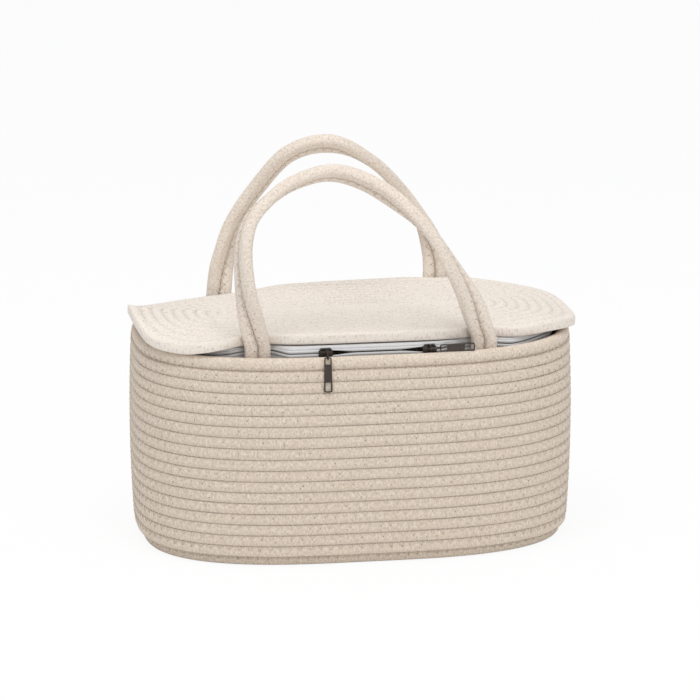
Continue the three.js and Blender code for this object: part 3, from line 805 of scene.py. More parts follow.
class CottonSettings(bpy.types.PropertyGroup):
    """Colours and braid of the cotton ropes."""

    body_colour: colour_of("Body", "Cotton of the wall and base", (0.74, 0.625, 0.515))
    body_shade: colour_of("Body shade", "Darker patches of the body", (0.63, 0.52, 0.415))
    lid_colour: colour_of("Lid", "Cotton of the lid", (0.835, 0.76, 0.685))
    lid_shade: colour_of("Lid shade", "Darker patches of the lid", (0.78, 0.70, 0.62))
    handle_colour: colour_of("Handles", "Cotton of the handles", (0.81, 0.715, 0.625))
    handle_shade: colour_of("Handle shade", "Darker patches of the handles", (0.70, 0.60, 0.50))
    fleck_colour: colour_of("Dark flecks", "Seed flecks in the cotton", (0.42, 0.33, 0.26))
    # Pale flecks: painted highlights on the fibres
    highlight_fleck_colour: colour_of("Pale flecks", "Bleached fibres in the cotton", (0.90, 0.83, 0.74))
    # Colour of the painted shade in the grooves, the needle holes and the thread's twist
    recess_shade_colour: colour_of("Grooves", "Grooves and needle holes", (0.16, 0.12, 0.09))
    thread_colour: colour_of("Thread", "Sewing thread of the seams", (0.74, 0.65, 0.55))
    braid_length: length_of("Braid length", "Length of one braid stitch", 0.0042)
    braid_depth: length_of("Braid depth", "How far the braid stands out", 0.0005)
    # Dashes of the painted shade along the grooves
    dash_length: length_of("Dash length", "Length of one dash of the worn grooves", 0.0043)
    flecks: share_of("Fleck strength", "How strongly the flecks stand out", 0.3)
    strands: number_of("Strands", "Strands round a rope", 8, IntProperty, min=4)


class SeamSettings(bpy.types.PropertyGroup):
    """The zigzag seams that join the rows."""

    step: length_of("Step", "Length of one zigzag stitch along the row", 0.0043)
    thread: length_of("Thread", "Thickness of the thread", 0.0006)
    hole: length_of("Hole", "Width of a needle hole", 0.001)
    reach: share_of("Reach", "Zigzag's reach in shares of a row", 0.4, low=0.1, high=0.48)
    shown: share_of("Holes shown", "Share of the needle holes that show", 0.26)
    seed: number_of("Seed", "Seed of the uneven stitches", 7, IntProperty)


class ZipSettings(bpy.types.PropertyGroup):
    """Teeth, tapes and metal of the zip."""

    tape_colour: colour_of("Tape", "Woven tape of the zip", (0.74, 0.735, 0.735))
    coil_colour: colour_of("Coil", "Moulded coil of the zip", (0.68, 0.68, 0.685))
    metal_colour: colour_of("Metal", "Plated metal of sliders and pulls", (0.055, 0.047, 0.042))
    # Lighter metal mixed in at random patches: painted reflection
    reflection_colour: colour_of("Worn metal", "Metal where the plating is worn", (0.2, 0.165, 0.145))
    tooth_pitch: length_of("Tooth pitch", "Distance from tooth to tooth", 0.0015)
    wedge: length_of("Wedge", "Length of the opening beside a slider", 0.022)
    wedge_gap: length_of("Wedge gap", "Widest opening beside a slider", 0.0042)
    closed_gap: length_of("Closed gap", "Gap between closed teeth", 0.0005)


# The camera's turn from the front, below 0 to the left, and its height over the horizon
TURN, TILT = math.radians(-9.2), math.radians(15.4)


class StudioSettings(bpy.types.PropertyGroup):
    """Camera, lamps and floor."""

    lens: number_of("Lens", "Focal length", 213.4, unit="CAMERA")
    distance: length_of("Distance", "Camera's distance from the bag", 3.6)
    azimuth: number_of("Azimuth", "Camera's turn from the front", TURN, subtype="ANGLE")
    elevation: number_of("Elevation", "Camera's height over the horizon", TILT, subtype="ANGLE")
    floor_colour: colour_of("Floor", "Pale studio floor", (0.93, 0.93, 0.93))
    sky: number_of("Sky", "Level of the even light", 0.7, min=0)
    key: number_of("Key", "Power of the large lamp above", 21, unit="POWER")
    front: number_of("Front", "Power of the lamp in front", 8.5, unit="POWER")


class RopeBagSettings(bpy.types.PropertyGroup):
    """All settings of the bag."""

    cotton: PointerProperty(type=CottonSettings)
    seams: PointerProperty(type=SeamSettings)
    zip: PointerProperty(type=ZipSettings)
    studio: PointerProperty(type=StudioSettings)


MADE = {}

# Strength of the painted shade in the grooves and of the braid on each kind of cotton
COTTON_KINDS = {"body": (0.75, 0.8), "lid": (0.05, 0.3), "handle": (0, 0.7)}


def material_of(name, maker, *arguments):
    """A material that is made once and then shared."""
    if name not in MADE:
        MADE[name] = maker(*arguments)
    return MADE[name]


def cotton_of(kind, settings):
    c = settings.cotton
    colour, shade = getattr(c, f"{kind}_colour"), getattr(c, f"{kind}_shade")
    return material_of(kind, cotton, f"{kind} cotton", colour, shade, *COTTON_KINDS[kind], c)


def dress(obj, material, body=None, nodes=()):
    """Gives a piece its finish and its body, and hides the imported nodes that it stands for.
    """
    obj.data.materials.clear()
    obj.data.materials.append(material)
    if body:
        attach(obj, body)
    if nodes:
        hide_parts(*nodes)


# Seams

# Squareness of a rope's section, from 2 for a round one, and how far two rows overlap
WALL_SQUARE = 5.2
RIM_SQUARE = 2.3
LID_SQUARE = 5.6
ROW_OVERLAP = 1.06

# Marks along one stitch, and the unevenness of its length
STITCH_MARKS = 4
UNEVEN = 0.06
# Lowest place of the thread as a share of the row's half, and its dip at a hole
THREAD_LOW, THREAD_DIP = 0.86, 0.12
# How far the thread stands proud, as a share of its radius, and the dots of painted needle-hole
# shade, in millimetres
THREAD_PROUD, DOT_LIFT = 0.6, 0.12
# Share of the thread's thickness that the lid's finer thread has
LID_FINE = 0.45


def surface_share(level, square):
    """How far the rope's surface stands out at a level between two rows."""
    beside = np.abs(level - np.round(level)) * 2 / ROW_OVERLAP
    return (1 - np.clip(beside, 0, 1) ** square) ** (1 / square)


def hole_shade_dots(spots, east, north, size):
    """Small six-sided dots on the rope where the thread dives in: painted shade of the needle
    holes.
    """
    ring = np.arange(6) * np.pi / 3
    c, s = np.cos(ring)[None, :, None], np.sin(ring)[None, :, None]
    rim = spots[:, None] + size[:, None, None] * (east[:, None] * c + north[:, None] * s)
    return rim.reshape(-1, 3), np.arange(len(spots) * 6).reshape(-1, 6).tolist()


def zigzag(order):
    """Swing of the zigzag between -1 and 1 at each mark, and which marks are at its holes."""
    return 1 - 2 * np.abs((order / STITCH_MARKS % 2) - 1), order % STITCH_MARKS == 0


def coil_seam(place, rows, square, seams, radius):
    """Zigzag thread and needle dots along all the grooves of a coil."""
    rng = np.random.default_rng(seams.seed + rows)
    turn, level = coil_turns(rows - 1)
    centre, face, _ = place(turn, level + 0.5)
    run = lengths(centre + face)
    step = seams.step / MM
    count = int(run[-1] / step)
    order = np.arange(count * STITCH_MARKS + 1)
    jitter = rng.normal(0, UNEVEN, count + 2) * step
    stitch = order / STITCH_MARKS
    marks = stitch * step + np.interp(stitch, np.arange(count + 2), jitter)
    swing, dips = zigzag(order)
    at = np.interp(np.clip(marks, 0, run[-1]), run, np.arange(len(run)))
    low = np.clip(at.astype(int), 0, len(run) - 2)
    share = at - low
    wrap = np.where(turn[low + 1] < turn[low] - 3, 2 * np.pi, 0)
    turn_here = turn[low] + (turn[low + 1] + wrap - turn[low]) * share
    level_here = level[low] + (level[low + 1] - level[low]) * share + 0.5 + swing * seams.reach
    centre, face, _ = place(turn_here, level_here)
    stand = surface_share(level_here, square)
    normal = unit(face)
    lifted = (np.maximum(stand, THREAD_LOW) - THREAD_DIP * dips)[:, None]
    path = centre + face * lifted + normal * (radius * THREAD_PROUD)
    binormal = unit(np.cross(tangents(path), normal))
    thread = swept(path, normal * radius, binormal * radius, 2.0, 4)
    dots = order[dips]
    dots = dots[rng.random(len(dots)) < seams.shown]
    size = seams.hole / MM / 2 * rng.uniform(0.5, 1.0, len(dots))
    spots = centre[dots] + face[dots] * stand[dots][:, None] + normal[dots] * DOT_LIFT
    return thread, hole_shade_dots(spots, unit(tangents(path)[dots]), binormal[dots], size)


def seam_pieces(name, thread, dots, slot, settings, body=None):
    """A seam's two pieces: its thread and its dots of painted needle-hole shade."""
    c = settings.cotton
    colour = c.lid_colour if slot == "lid_rope" else c.thread_colour
    cord = material_of(f"{slot} thread", thread_material, f"{slot} thread", colour, c)
    thread = made_mesh(f"{name}_seam_thread", *thread)
    dress(thread, cord, body)
    holes = made_mesh(f"{name}_needle_holes", *dots, smooth_faces=False)
    dress(holes, material_of("holes", hole_shade_material, c), body)
    return thread, holes


def sew(name, place, rows, square, settings, body, slot, fine=1.0):
    radius = settings.seams.thread / MM / 2 * fine
    thread, dots = coil_seam(place, rows, square, settings.seams, radius)
    seam_pieces(name, thread, dots, slot, settings, body)


def coil_rope(name, place, rows, square):
    turn, level = coil_turns(rows)
    centre, face, side = place(turn, level)
    return rope(name, centre, face, side * ROW_OVERLAP, square)


class ROPEBAG_OT_body(bpy.types.Operator):
    """Winds the wall and the base from rope and sews their rows together"""

    bl_idname = "ropebag.body"
    bl_label = "Rope Body"

    def execute(self, context):
        settings = context.scene.rope_bag
        level = coil_turns(ROWS)[1]
        at_rim = smooth(ROWS - 2, ROWS - 1, level)
        square = WALL_SQUARE - (WALL_SQUARE - RIM_SQUARE) * at_rim
        wall = coil_rope("wall_rope", wall_place, ROWS, square)
        dress(wall, cotton_of("body", settings), "bag", ["rope_wall"])
        base = coil_rope("base_rope", base_place, BASE_ROWS, LID_SQUARE)
        dress(base, cotton_of("body", settings), "bag", ["rope_base"])
        sew("wall", wall_place, ROWS, WALL_SQUARE, settings, "bag", "body_rope")
        sew("base", base_place, BASE_ROWS, LID_SQUARE, settings, "bag", "body_rope")
        return {"FINISHED"}


class ROPEBAG_OT_lid(bpy.types.Operator):
    """Winds the soft lid from rope and sews its rows together"""

    bl_idname = "ropebag.lid"
    bl_label = "Rope Lid"

    def execute(self, context):
        settings = context.scene.rope_bag
        lid = coil_rope("lid_rope", lid_place, LID_ROWS, LID_SQUARE)
        dress(lid, cotton_of("lid", settings), "lid", ["coiled_lid"])
        sew("lid", lid_place, LID_ROWS, LID_SQUARE, settings, "lid", "lid_rope", LID_FINE)
        return {"FINISHED"}


# Handles

# Reach of the handles' stitches to each side of the groove between their two ropes
HANDLE_STITCH = 3.2
# The ropes' half width towards each other, and the squareness of their section
HANDLE_SIDE = HANDLE_HALF * 1.05
HANDLE_SQUARE = 3.0
# Lowest place of the thread, its dip at a hole, and how many more of the holes show
HANDLE_LOW, HANDLE_DIP = HANDLE_HALF * 0.84, 0.3
MORE_HOLES = 0.25
# Marks along a handle and in each of its sewn ends, and how far under the pivot these start
HANDLE_MARKS, SEWN_MARKS = 260, 9
SEWN_START = 1.5
# Shares of a handle's length over which its twist starts at a foot and is softened
TWIST_START, TWIST_SOFT = 0.06, 0.015
FRONT_RISE, REAR_RISE = 141.8, 137.8

# Shapes of the arches: place from -1 at the left foot to 1 at the right, and share of the rise
FRONT_ARCH = [
    (-1, 0), (-1.07, 0.2), (-1.12, 0.41), (-1.12, 0.62), (-1.05, 0.76), (-0.9, 0.86),
    (-0.67, 0.95), (-0.32, 1), (0, 0.94), (0.34, 0.78), (0.54, 0.63), (0.69, 0.46),
    (0.85, 0.26), (1, 0),
]
REAR_ARCH = [
    (-1, 0), (-0.96, 0.19), (-0.86, 0.44), (-0.63, 0.7), (-0.35, 0.94), (-0.03, 1),
    (0.37, 0.87), (0.7, 0.64), (0.86, 0.48), (0.95, 0.35), (1.01, 0.2), (1, 0),
]

# Turn of each handle's pair of ropes in degrees, by the share of its length from the left foot
FRONT_TWIST = [
    (0, 0), (0.05, 18), (0.1, 54), (0.16, 70), (0.22, 80), (0.3, 98), (0.38, 112), (0.5, 122),
    (0.62, 121), (0.7, 98), (0.78, 82), (0.85, 64), (0.96, 6), (1, 0),
]
REAR_TWIST = [
    (0, 0), (0.04, 10), (0.11, 46), (0.18, 58), (0.25, 58), (0.36, 54), (0.45, 52), (0.5, 52),
    (0.58, 76), (0.65, 86), (0.79, 92), (0.85, 74), (0.96, 9), (1, 0),
]


def twist_at(share, marks):
    """Twist along a handle, softened between the marks."""
    places, degrees = np.array(marks, float).T
    near = np.linspace(-TWIST_SOFT, TWIST_SOFT, 5)[:, None]
    return np.radians(np.interp(share + near, places, degrees).mean(0))


def smooth_curve(points, per_span=60):
    """A curve through the points that doesn't overshoot where they are unevenly spaced."""
    points = np.asarray(points, float)
    before, after = 2 * points[0] - points[1], 2 * points[-1] - points[-2]
    points = np.concatenate([[before], points, [after]])
    s = (np.arange(per_span) / per_span)[:, None]
    made = []
    for k in range(1, len(points) - 2):
        p0, p1, p2, p3 = points[k - 1:k + 3]
        d0, d1, d2 = np.sqrt(np.linalg.norm(np.diff(points[k - 1:k + 3], axis=0), axis=1))
        t1 = ((p1 - p0) / d0 - (p2 - p0) / (d0 + d1) + (p2 - p1) / d1) * d1
        t2 = ((p2 - p1) / d1 - (p3 - p1) / (d1 + d2) + (p3 - p2) / d2) * d1
        made.append(
            p1 + t1 * s + (-3 * p1 + 3 * p2 - 2 * t1 - t2) * s**2
            + (2 * p1 - 2 * p2 + t1 + t2) * s**3
        )
    return np.concatenate([*made, [points[-2]]])


def handle_frames(arch, twists, rise, centre_x, side):
    """Middle line of a handle with the pair's axis and its outward normal."""
    curve = smooth_curve([(
        centre_x + across * FOOT_SPACING / 2,
        side * (HANDLE_Y + BOW * math.sin(math.pi * height) - LEAN * height**LEAN_POWER),
        PIVOT_Z + height * rise,
    ) for across, height in arch])
    run = lengths(curve)
    marks = np.linspace(0, run[-1], HANDLE_MARKS)
    (curve,) = resampled(marks, run, curve)
    share = marks / run[-1]
    to_top = 1 - np.abs(2 * share - 1)
    twist = twist_at(share, twists) * smooth(0, TWIST_START, to_top)
    lean = (1 - smooth(0, FOOT_SHARE, to_top))[:, None]
    along = unit(tangents(curve) * (1 - lean) + upward(np.where(share < 0.5, 1, -1)) * lean)
    level = np.tile([0.0, 1.0, 0.0], (len(curve), 1))
    level = unit(level - along * np.sum(level * along, 1, keepdims=True))
    outward = np.cross(along, level)
    pair = outward * np.cos(twist)[:, None] - side * level * np.sin(twist)[:, None]
    down = -upward(np.linspace(SEWN_DEPTH + HANDLE_HALF, SEWN_START, SEWN_MARKS))
    curve = np.concatenate([curve[0] + down, curve, (curve[-1] + down)[::-1]])
    pair = np.concatenate([[pair[0]] * SEWN_MARKS, pair, [pair[-1]] * SEWN_MARKS])
    ends = upward(np.ones(SEWN_MARKS))
    along = np.concatenate([ends, along, -ends])
    return curve, pair, unit(np.cross(along, pair))


def handle_seam(seams, curve, pair, out):
    """Zigzag threads and needle dots over both faces of a handle."""
    rng = np.random.default_rng(seams.seed)
    run = lengths(curve)
    step = seams.step / MM
    order = np.arange(int(run[-1] / step) * STITCH_MARKS + 1)
    mid, across, out = resampled(order * step / STITCH_MARKS, run, curve, pair, out)
    swing, dips = zigzag(order)
    reach = swing[:, None] * HANDLE_STITCH
    beside = np.clip(np.abs(ROPE_APART - np.abs(reach)) / HANDLE_SIDE, 0, 1)
    rise = HANDLE_HALF * (1 - beside**HANDLE_SQUARE) ** (1 / HANDLE_SQUARE)
    lifted = np.maximum(rise, HANDLE_LOW) - HANDLE_DIP * dips[:, None]
    radius = seams.thread / MM / 2
    threads, dots = [], []
    for way in (1, -1):
        path = mid + across * reach + out * way * (lifted + radius * THREAD_PROUD)
        binormal = unit(np.cross(tangents(path), out))
        threads.append(swept(path, out * radius, binormal * radius, 2.0, 4))
        picked = order[dips]
        picked = picked[rng.random(len(picked)) < seams.shown + MORE_HOLES]
        size = seams.hole / MM / 2 * rng.uniform(0.6, 1.0, len(picked))
        spots = (mid + across * reach + out * way * (rise + DOT_LIFT))[picked]
        dots.append((spots, tangents(mid)[picked], across[picked], size))
    return joined(threads), hole_shade_dots(*(np.concatenate(parts) for parts in zip(*dots)))


class ROPEBAG_OT_handles(bpy.types.Operator):
    """Makes the two handles, each of two ropes sewn side by side"""

    bl_idname = "ropebag.handles"
    bl_label = "Rope Handles"

    def execute(self, context):
        settings = context.scene.rope_bag
        for name, arch, twists, rise, centre_x, side in (
            ("front_handle", FRONT_ARCH, FRONT_TWIST, FRONT_RISE, FRONT_X, -1),
            ("rear_handle", REAR_ARCH, REAR_TWIST, REAR_RISE, REAR_X, 1),
        ):
            curve, pair, normal = handle_frames(arch, twists, rise, centre_x, side)
            start = (0, side * HANDLE_Y * MM, (RIM_TOP + 0.5) * MM)
            end = (0, side * HANDLE_Y * MM, (PIVOT_Z + 9) * MM)
            for layer, away in (("outer", 1), ("inner", -1)):
                piece = rope(
                    f"{name}_{layer}_cord", curve + pair * (away * ROPE_APART),
                    normal * HANDLE_HALF, pair * HANDLE_SIDE, HANDLE_SQUARE, spacing=3.0,
                )
                ends = [f"{name}_{leg}_{layer}_end" for leg in ("left", "right")]
                dress(piece, cotton_of("handle", settings),
                      nodes=[f"{name}_{layer}_rope", *ends])
                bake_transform(piece)
            thread, dots = handle_seam(settings.seams, curve, pair, normal)
            for piece in seam_pieces(name, thread, dots, "handle_rope", settings):
                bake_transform(piece)
        return {"FINISHED"}


# Zip

ZIP_RUN = -float(depth_at(np.float64(0), INNER_SHIFT - ZIP_INSET))
# Marks of the zip's middle line, and the distance between two sections of its tapes
ZIP_MARKS = 3000
TAPE_STEP = 3.0
# A coil's ribs are this much of its width, and there are this many sections to a tooth
RIB_SHARE = 0.06
TOOTH_MARKS = 4
# Half of the lower tape's room, a tape's reach over its teeth, and its hem under the lid
CLOTH_LIFT = 0.4
CLOTH_OVER = 0.6
HEM = 7
# Distance from a slider's middle to its opening, and the share of the gap left between them
WEDGE_START, LEFT_OPEN = 4, 0.1
# Gaps of the upper tape's seam and hem under the lid, and the rise of its bare fold
SEAM_GAP, HEM_GAP, FOLD_RISE = 0.6, 0.7, 2.8


def zip_plan(turn, inset, z, half, straight):
    """Plan of the zip: along the wall, and straight between the front handle's legs."""
    plan = outline(turn, -WALL + body_shift(z) - inset)
    x, y = plan[:, 0], plan[:, 1]
    depth = -y
    if straight:
        end = np.where(x < 0, STRAIGHT_LEFT, STRAIGHT_RIGHT)
        share = smooth(end, end + LEG_FADE, np.abs(x))
        depth = -ZIP_RUN + (depth + ZIP_RUN) * share
    behind = HANDLE_Y - HANDLE_HALF - half - RUNNING / 2
    for foot in foot_xs(FRONT_X):
        fade = abs(foot) - (STRAIGHT_LEFT if foot < 0 else STRAIGHT_RIGHT)
        share = smooth(LEG_REACH, fade, np.abs(x - foot))
        depth = np.minimum(depth, behind) * (1 - share) + depth * share
    plan[:, 1] = np.where(y > 0, y, -depth)
    return plan


def zip_path():
    """Turns and middle line of the zip, from the rear left by the front to the rear right."""
    reach = HALF_LENGTH + INNER_SHIFT - ZIP_INSET - PLAN_FLAT / 2
    past = math.acos(((ZIP_END_X - PLAN_FLAT / 2) / reach) ** (PLAN_POWER / 2))
    turn = np.linspace(math.pi - past, 2 * math.pi + past, ZIP_MARKS)
    path = zip_plan(turn, ZIP_INSET, RIM_TOP, COIL_HALF, True)
    path[:, 2] = np.minimum(ZIP_Z, lid_under(path[:, 0], path[:, 1]) - ZIP_TUCK)
    return turn, path


def teeth_gap(x, y, settings):
    """Half of the gap between the two rows of teeth."""
    closed = settings.closed_gap / MM / 2
    wide = settings.wedge_gap / MM / 2
    reach = settings.wedge / MM
    left = 1 - smooth(0, 1, (x - LEFT_X - WEDGE_START) / reach)
    right = 1 - smooth(0, 1, (RIGHT_X - WEDGE_START - x) / reach)
    opened = np.maximum(left, right) * (1 - LEFT_OPEN) + LEFT_OPEN
    inside = (x > LEFT_X) & (x < RIGHT_X) & (y < 0)
    return closed + (wide - closed) * np.where(inside, opened, 0)


def strip(name, lines, settings, cut_width=None):
    """A strip of cloth and its flat size: lines is an array of stations of points."""
    stations, width = lines.shape[:2]
    run = lengths(lines[:, width // 2])
    steps = np.linalg.norm(np.diff(lines, axis=1), axis=2)
    reach = np.concatenate([np.zeros((stations, 1)), np.cumsum(steps, 1)], 1)
    i, j = np.meshgrid(np.arange(stations - 1), np.arange(width - 1), indexing="ij")
    corners = [(i, j), (i + 1, j), (i + 1, j + 1), (i, j + 1)]
    quads = np.stack([(a * width + b).ravel() for a, b in corners], -1)
    uv = [np.stack([run[a].ravel() * MM, reach[a, b].ravel() * MM], -1) for a, b in corners]
    obj = made_mesh(name, lines.reshape(-1, 3), quads.tolist(), np.stack(uv, 1))
    thick = obj.modifiers.new("Cloth thickness", "SOLIDIFY")
    thick.thickness = CLOTH_THICK * MM
    thick.offset = 0
    dress(obj, material_of("tape", woven, settings.zip.tape_colour))
    return obj, ((cut_width or float(reach[:, -1].mean())) * MM, float(run[-1]) * MM)


def zip_teeth(zip_set, path, run):
    pitch = zip_set.tooth_pitch / MM
    marks = np.arange(0, run[-1], pitch / TOOTH_MARKS)
    (line,) = resampled(marks, run, path)
    along = tangents(line)
    along[:, 2] = 0
    outward = np.cross(unit(along), [0.0, 0.0, 1.0])
    rib = 1 - RIB_SHARE + RIB_SHARE * np.cos(2 * np.pi * marks / pitch)
    face = outward * (COIL_HALF * rib)[:, None]
    gap = teeth_gap(line[:, 0], line[:, 1], zip_set)
    for name, way, body in (("upper_zip", 1, "lid"), ("lower_zip", -1, "bag")):
        centre = line + upward(way * (gap + COIL_FAR) / 2)
        up = upward((COIL_FAR - gap) / 2)
        teeth = made_mesh(f"{name}_coil", *swept(centre, face, up, 2.6, 8))
        material = material_of("coil", coil_material, zip_set)
        dress(teeth, material, body, [f"{name}_teeth"])


def lower_tape_lines(turn, line):
    """The lower tape from the teeth down to where it is sewn inside the wall."""
    top = line - upward(np.full(len(line), COIL_FAR - CLOTH_OVER))
    low_z = float(ZIP_Z - COIL_FAR - TAPE_WIDTH)
    low = zip_plan(turn, CLOTH_ROOM + CLOTH_LIFT, low_z, CLOTH_LIFT, False)
    low[:, 2] = top[:, 2] - TAPE_WIDTH
    share = np.linspace(0, 1, 7)[None, :, None]
    return top[:, None] * (1 - share) + low[:, None] * share


def upper_tape_lines(line):
    """The upper tape from the teeth up to its seam under the lid, and on to its hem."""
    start = line + upward(np.full(len(line), COIL_FAR - CLOTH_OVER))
    x, y = line[:, 0], line[:, 1]
    reach = np.maximum(0, lid_depth_at(x, y) - leg_dent(x, y) - LID_ROPE / 2)
    covered = (y > 0) | (np.abs(x) > LID_END_X)
    seat = np.where(covered, y, np.sign(y) * np.minimum(np.abs(y), reach))
    bare = np.where(covered, 0, smooth(0, LID_ROPE, np.abs(y) - np.abs(seat)))
    under = lid_under(x, seat) - SEAM_GAP - TAPE_THICK * bare
    fold = start.copy()
    fold[:, 2] = (start[:, 2] + under) / 2 * (1 - bare) + (start[:, 2] + FOLD_RISE) * bare
    seam = np.stack([x, seat, under], -1)
    inward = unit(line - line.mean(0))
    inward[:, 2] = 0
    hem = seam - unit(inward) * HEM
    hem[:, 2] = lid_under(hem[:, 0], hem[:, 1]) - HEM_GAP
    return np.stack([
        start, (start + fold) / 2, fold, (fold + seam) / 2, seam, (seam + hem) / 2, hem,
    ], 1)


class ROPEBAG_OT_zip(bpy.types.Operator):
    """Makes the zip's two tapes, its two rows of teeth and its stops"""

    bl_idname = "ropebag.zip"
    bl_label = "Zip"

    def execute(self, context):
        settings = context.scene.rope_bag
        turn, path = zip_path()
        run = lengths(path)
        zip_teeth(settings.zip, path, run)
        marks = np.arange(0, run[-1], TAPE_STEP)
        turn, line = resampled(marks, run, turn, path)
        lines = lower_tape_lines(turn, line)
        tape, size = strip("lower_zip_tape_cloth", lines, settings, TAPE_WIDTH + CLOTH_OVER)
        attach(tape, "bag")
        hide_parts("lower_zip_tape")
        tape, size = strip("upper_zip_tape_cloth", upper_tape_lines(line), settings)
        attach(tape, "lid")
        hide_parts("upper_zip_tape")
        cloth = material_of("stop", folded_cloth, settings.zip.tape_colour)
        for side in ("left", "right"):
            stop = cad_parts[f"{side}_zip_stop"]
            bevel = stop.modifiers.new("Folded edge", "BEVEL")
            bevel.width = 0.0004
            bevel.segments = 3
            dress(stop, cloth)
        return {"FINISHED"}


# Depths under the rim and heights over it at which the hinge lies on the wall and on the lid
HINGE_DEEP, HINGE_HIGH = (22, 14, 7), (2.9, 9.2)


class ROPEBAG_OT_hinge(bpy.types.Operator):
    """Makes the cloth hinge strip along the rear of the lid"""

    bl_idname = "ropebag.hinge"
    bl_label = "Hinge Strip"

    def execute(self, context):
        x = np.linspace(-HINGE_HALF, HINGE_HALF, 40)
        wall_y = depth_at(x, INNER_SHIFT) - CLOTH_ROOM
        lid_y = lid_depth_at(x, np.float64(1)) - leg_dent(x, np.ones_like(x)) + CLOTH_ROOM
        rows = [(wall_y, RIM_TOP - deep) for deep in HINGE_DEEP]
        rows += [(lid_y, RIM_TOP + high) for high in HINGE_HIGH]
        lines = np.stack([np.stack([x, y, np.full_like(x, z)], -1) for y, z in rows], 1)
        piece, size = strip("hinge_strip_cloth", lines, context.scene.rope_bag)
        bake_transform(piece)
        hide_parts("hinge_strip")
        return {"FINISHED"}


# Sliders and pulls

# Squareness of a wire's section
WIRE_SQUARE = 2.6
# A hair of bend that gives a straight wire its plane
WIRE_BEND = 1e-4
# Half height of a slider's plates, and how much they narrow towards its closed end
PLATE_TALL, PLATE_NARROW = 5, 0.13
# Half length, height, thickness and depths of the lips that fold over a slider's coils
LIP_HALF, LIP_LEVEL, LIP_RADIUS, LIP_DEPTHS = 4.2, 4.45, 0.5, (-2.15, 1.75)


def turned(part, x_axis, y_axis, origin):
    """A part moved to the origin, with its X and Y turned to the given directions."""
    points, faces, uv = part
    return points @ np.array([x_axis, y_axis, np.cross(x_axis, y_axis)]) + origin, faces, uv


def wire(points, radius, closed):
    """A round wire through the points, which lie in one plane."""
    points = np.asarray(points, float)
    if closed:
        along = unit(np.roll(points, -1, 0) - np.roll(points, 1, 0))
    else:
        along = tangents(points)
    plane = np.cross(points[1] - points[0], points[len(points) // 2] - points[0])
    flat = np.tile(unit(plane), (len(points), 1))
    across = np.cross(along, flat)
    return swept(points, flat * radius, across * radius, WIRE_SQUARE, 8, closed=closed)


def slider_parts(way, upright):
    """Plates, lips, post and crown of a slider, with its open end to the given way."""
    turn = 2 * math.pi * np.arange(48) / 48
    x = PLATE_HALF * signed_power(np.cos(turn), 0.62)
    narrow = 1 - PLATE_NARROW * np.maximum(0, -x * way / PLATE_HALF)
    z = PLATE_TALL * signed_power(np.sin(turn), 0.6) * narrow
    plate = cut_plate([list(zip(x, z))], PLATE, 0.35)
    parts = [
        turned(plate, (1, 0, 0), (0, 0, 1), (0, y, 0))
        for y in (PLATE / 2 - PLATE_FRONT, PLATE_BACK - PLATE / 2)
    ]
    for level in (-LIP_LEVEL, LIP_LEVEL):
        for y in LIP_DEPTHS:
            lip = np.linspace(-LIP_HALF, LIP_HALF, 9)
            lip = [(x, y, level + WIRE_BEND * k * k) for k, x in enumerate(lip)]
            parts.append(wire(lip, LIP_RADIUS, False))
    post = rounded_box(-2, 2, -0.6, 0.6, 0.5)
    post = cut_plate([post], PLATE_FRONT + PLATE_BACK - PLATE, 0.1)
    middle = (PLATE_BACK - PLATE_FRONT) / 2
    parts.append(turned(post, (1, 0, 0), (0, 0, 1), (0, middle, 0)))
    turn = math.pi * np.arange(25) / 24
    span = signed_power(np.cos(turn), 0.5)
    out = CROWN_SUNK - PLATE_FRONT - (CROWN_REACH + CROWN_SUNK) * np.abs(np.sin(turn)) ** 0.5
    if upright:
        x, z = 0 * span, UPRIGHT_RISE + (UPRIGHT_REACH - CROWN_BAR / 2) * span
    else:
        x, z = (PLATE_HALF - CROWN_BAR * 1.5) * span, np.full(25, CROWN_RISE)
    parts.append(wire(np.stack([x, out, z], -1), CROWN_BAR / 2, False))
    return parts


def link_part():
    """A wire loop with its near pivot at the origin, along X."""
    turn = math.pi / 2 + math.pi * np.arange(17) / 16
    near = np.stack([np.cos(turn), np.sin(turn), 0 * turn], -1) * (LINK_ROOM + LINK_WIRE / 2)
    return wire(np.concatenate([near, (LINK_PIVOTS, 0, 0) - near]), LINK_WIRE / 2, True)


def tab_part():
    """A pull tab along X, with an eye at one end and a window at the other."""
    start, end = -TAB_FRAME / 2, TAB_LENGTH - TAB_FRAME / 2
    rim = []
    for x, y in rounded_box(start, end, -1, 1, 0.9, 5):
        share = (x - start) / (end - start)
        rim.append((x, y * (TAB_NEAR_HALF + (TAB_FAR_HALF - TAB_NEAR_HALF) * share)))
    eye = rounded_box(TAB_FRAME / 2, TAB_FRAME / 2 + TAB_EYE, -2.1, 2.1, 0.7)
    close = end - TAB_FRAME
    window = rounded_box(close - TAB_WINDOW, close, -2.35, 2.35, 0.6)
    return cut_plate([rim, eye, window], TAB_THICK, 0.25)


def metal_piece(name, part, settings, body, crisp=True):
    """A metal piece, with its flat faces kept crisp if it has any."""
    piece = made_mesh(name, *part)
    if crisp:
        piece.modifiers.new("Crisp edges", "WEIGHTED_NORMAL")
    dress(piece, material_of("metal", metal, settings.zip), body, [body])


class ROPEBAG_OT_sliders(bpy.types.Operator):
    """Makes the two sliders"""

    bl_idname = "ropebag.sliders"
    bl_label = "Sliders"

    def execute(self, context):
        settings = context.scene.rope_bag
        for side, x, way, upright in (("left", LEFT_X, 1, False), ("right", RIGHT_X, -1, True)):
            points, faces, uv = joined(slider_parts(way, upright))
            part = points + [x, ZIP_RUN, ZIP_Z], faces, uv
            metal_piece(f"{side}_slider_body", part, settings, f"{side}_slider")
        return {"FINISHED"}


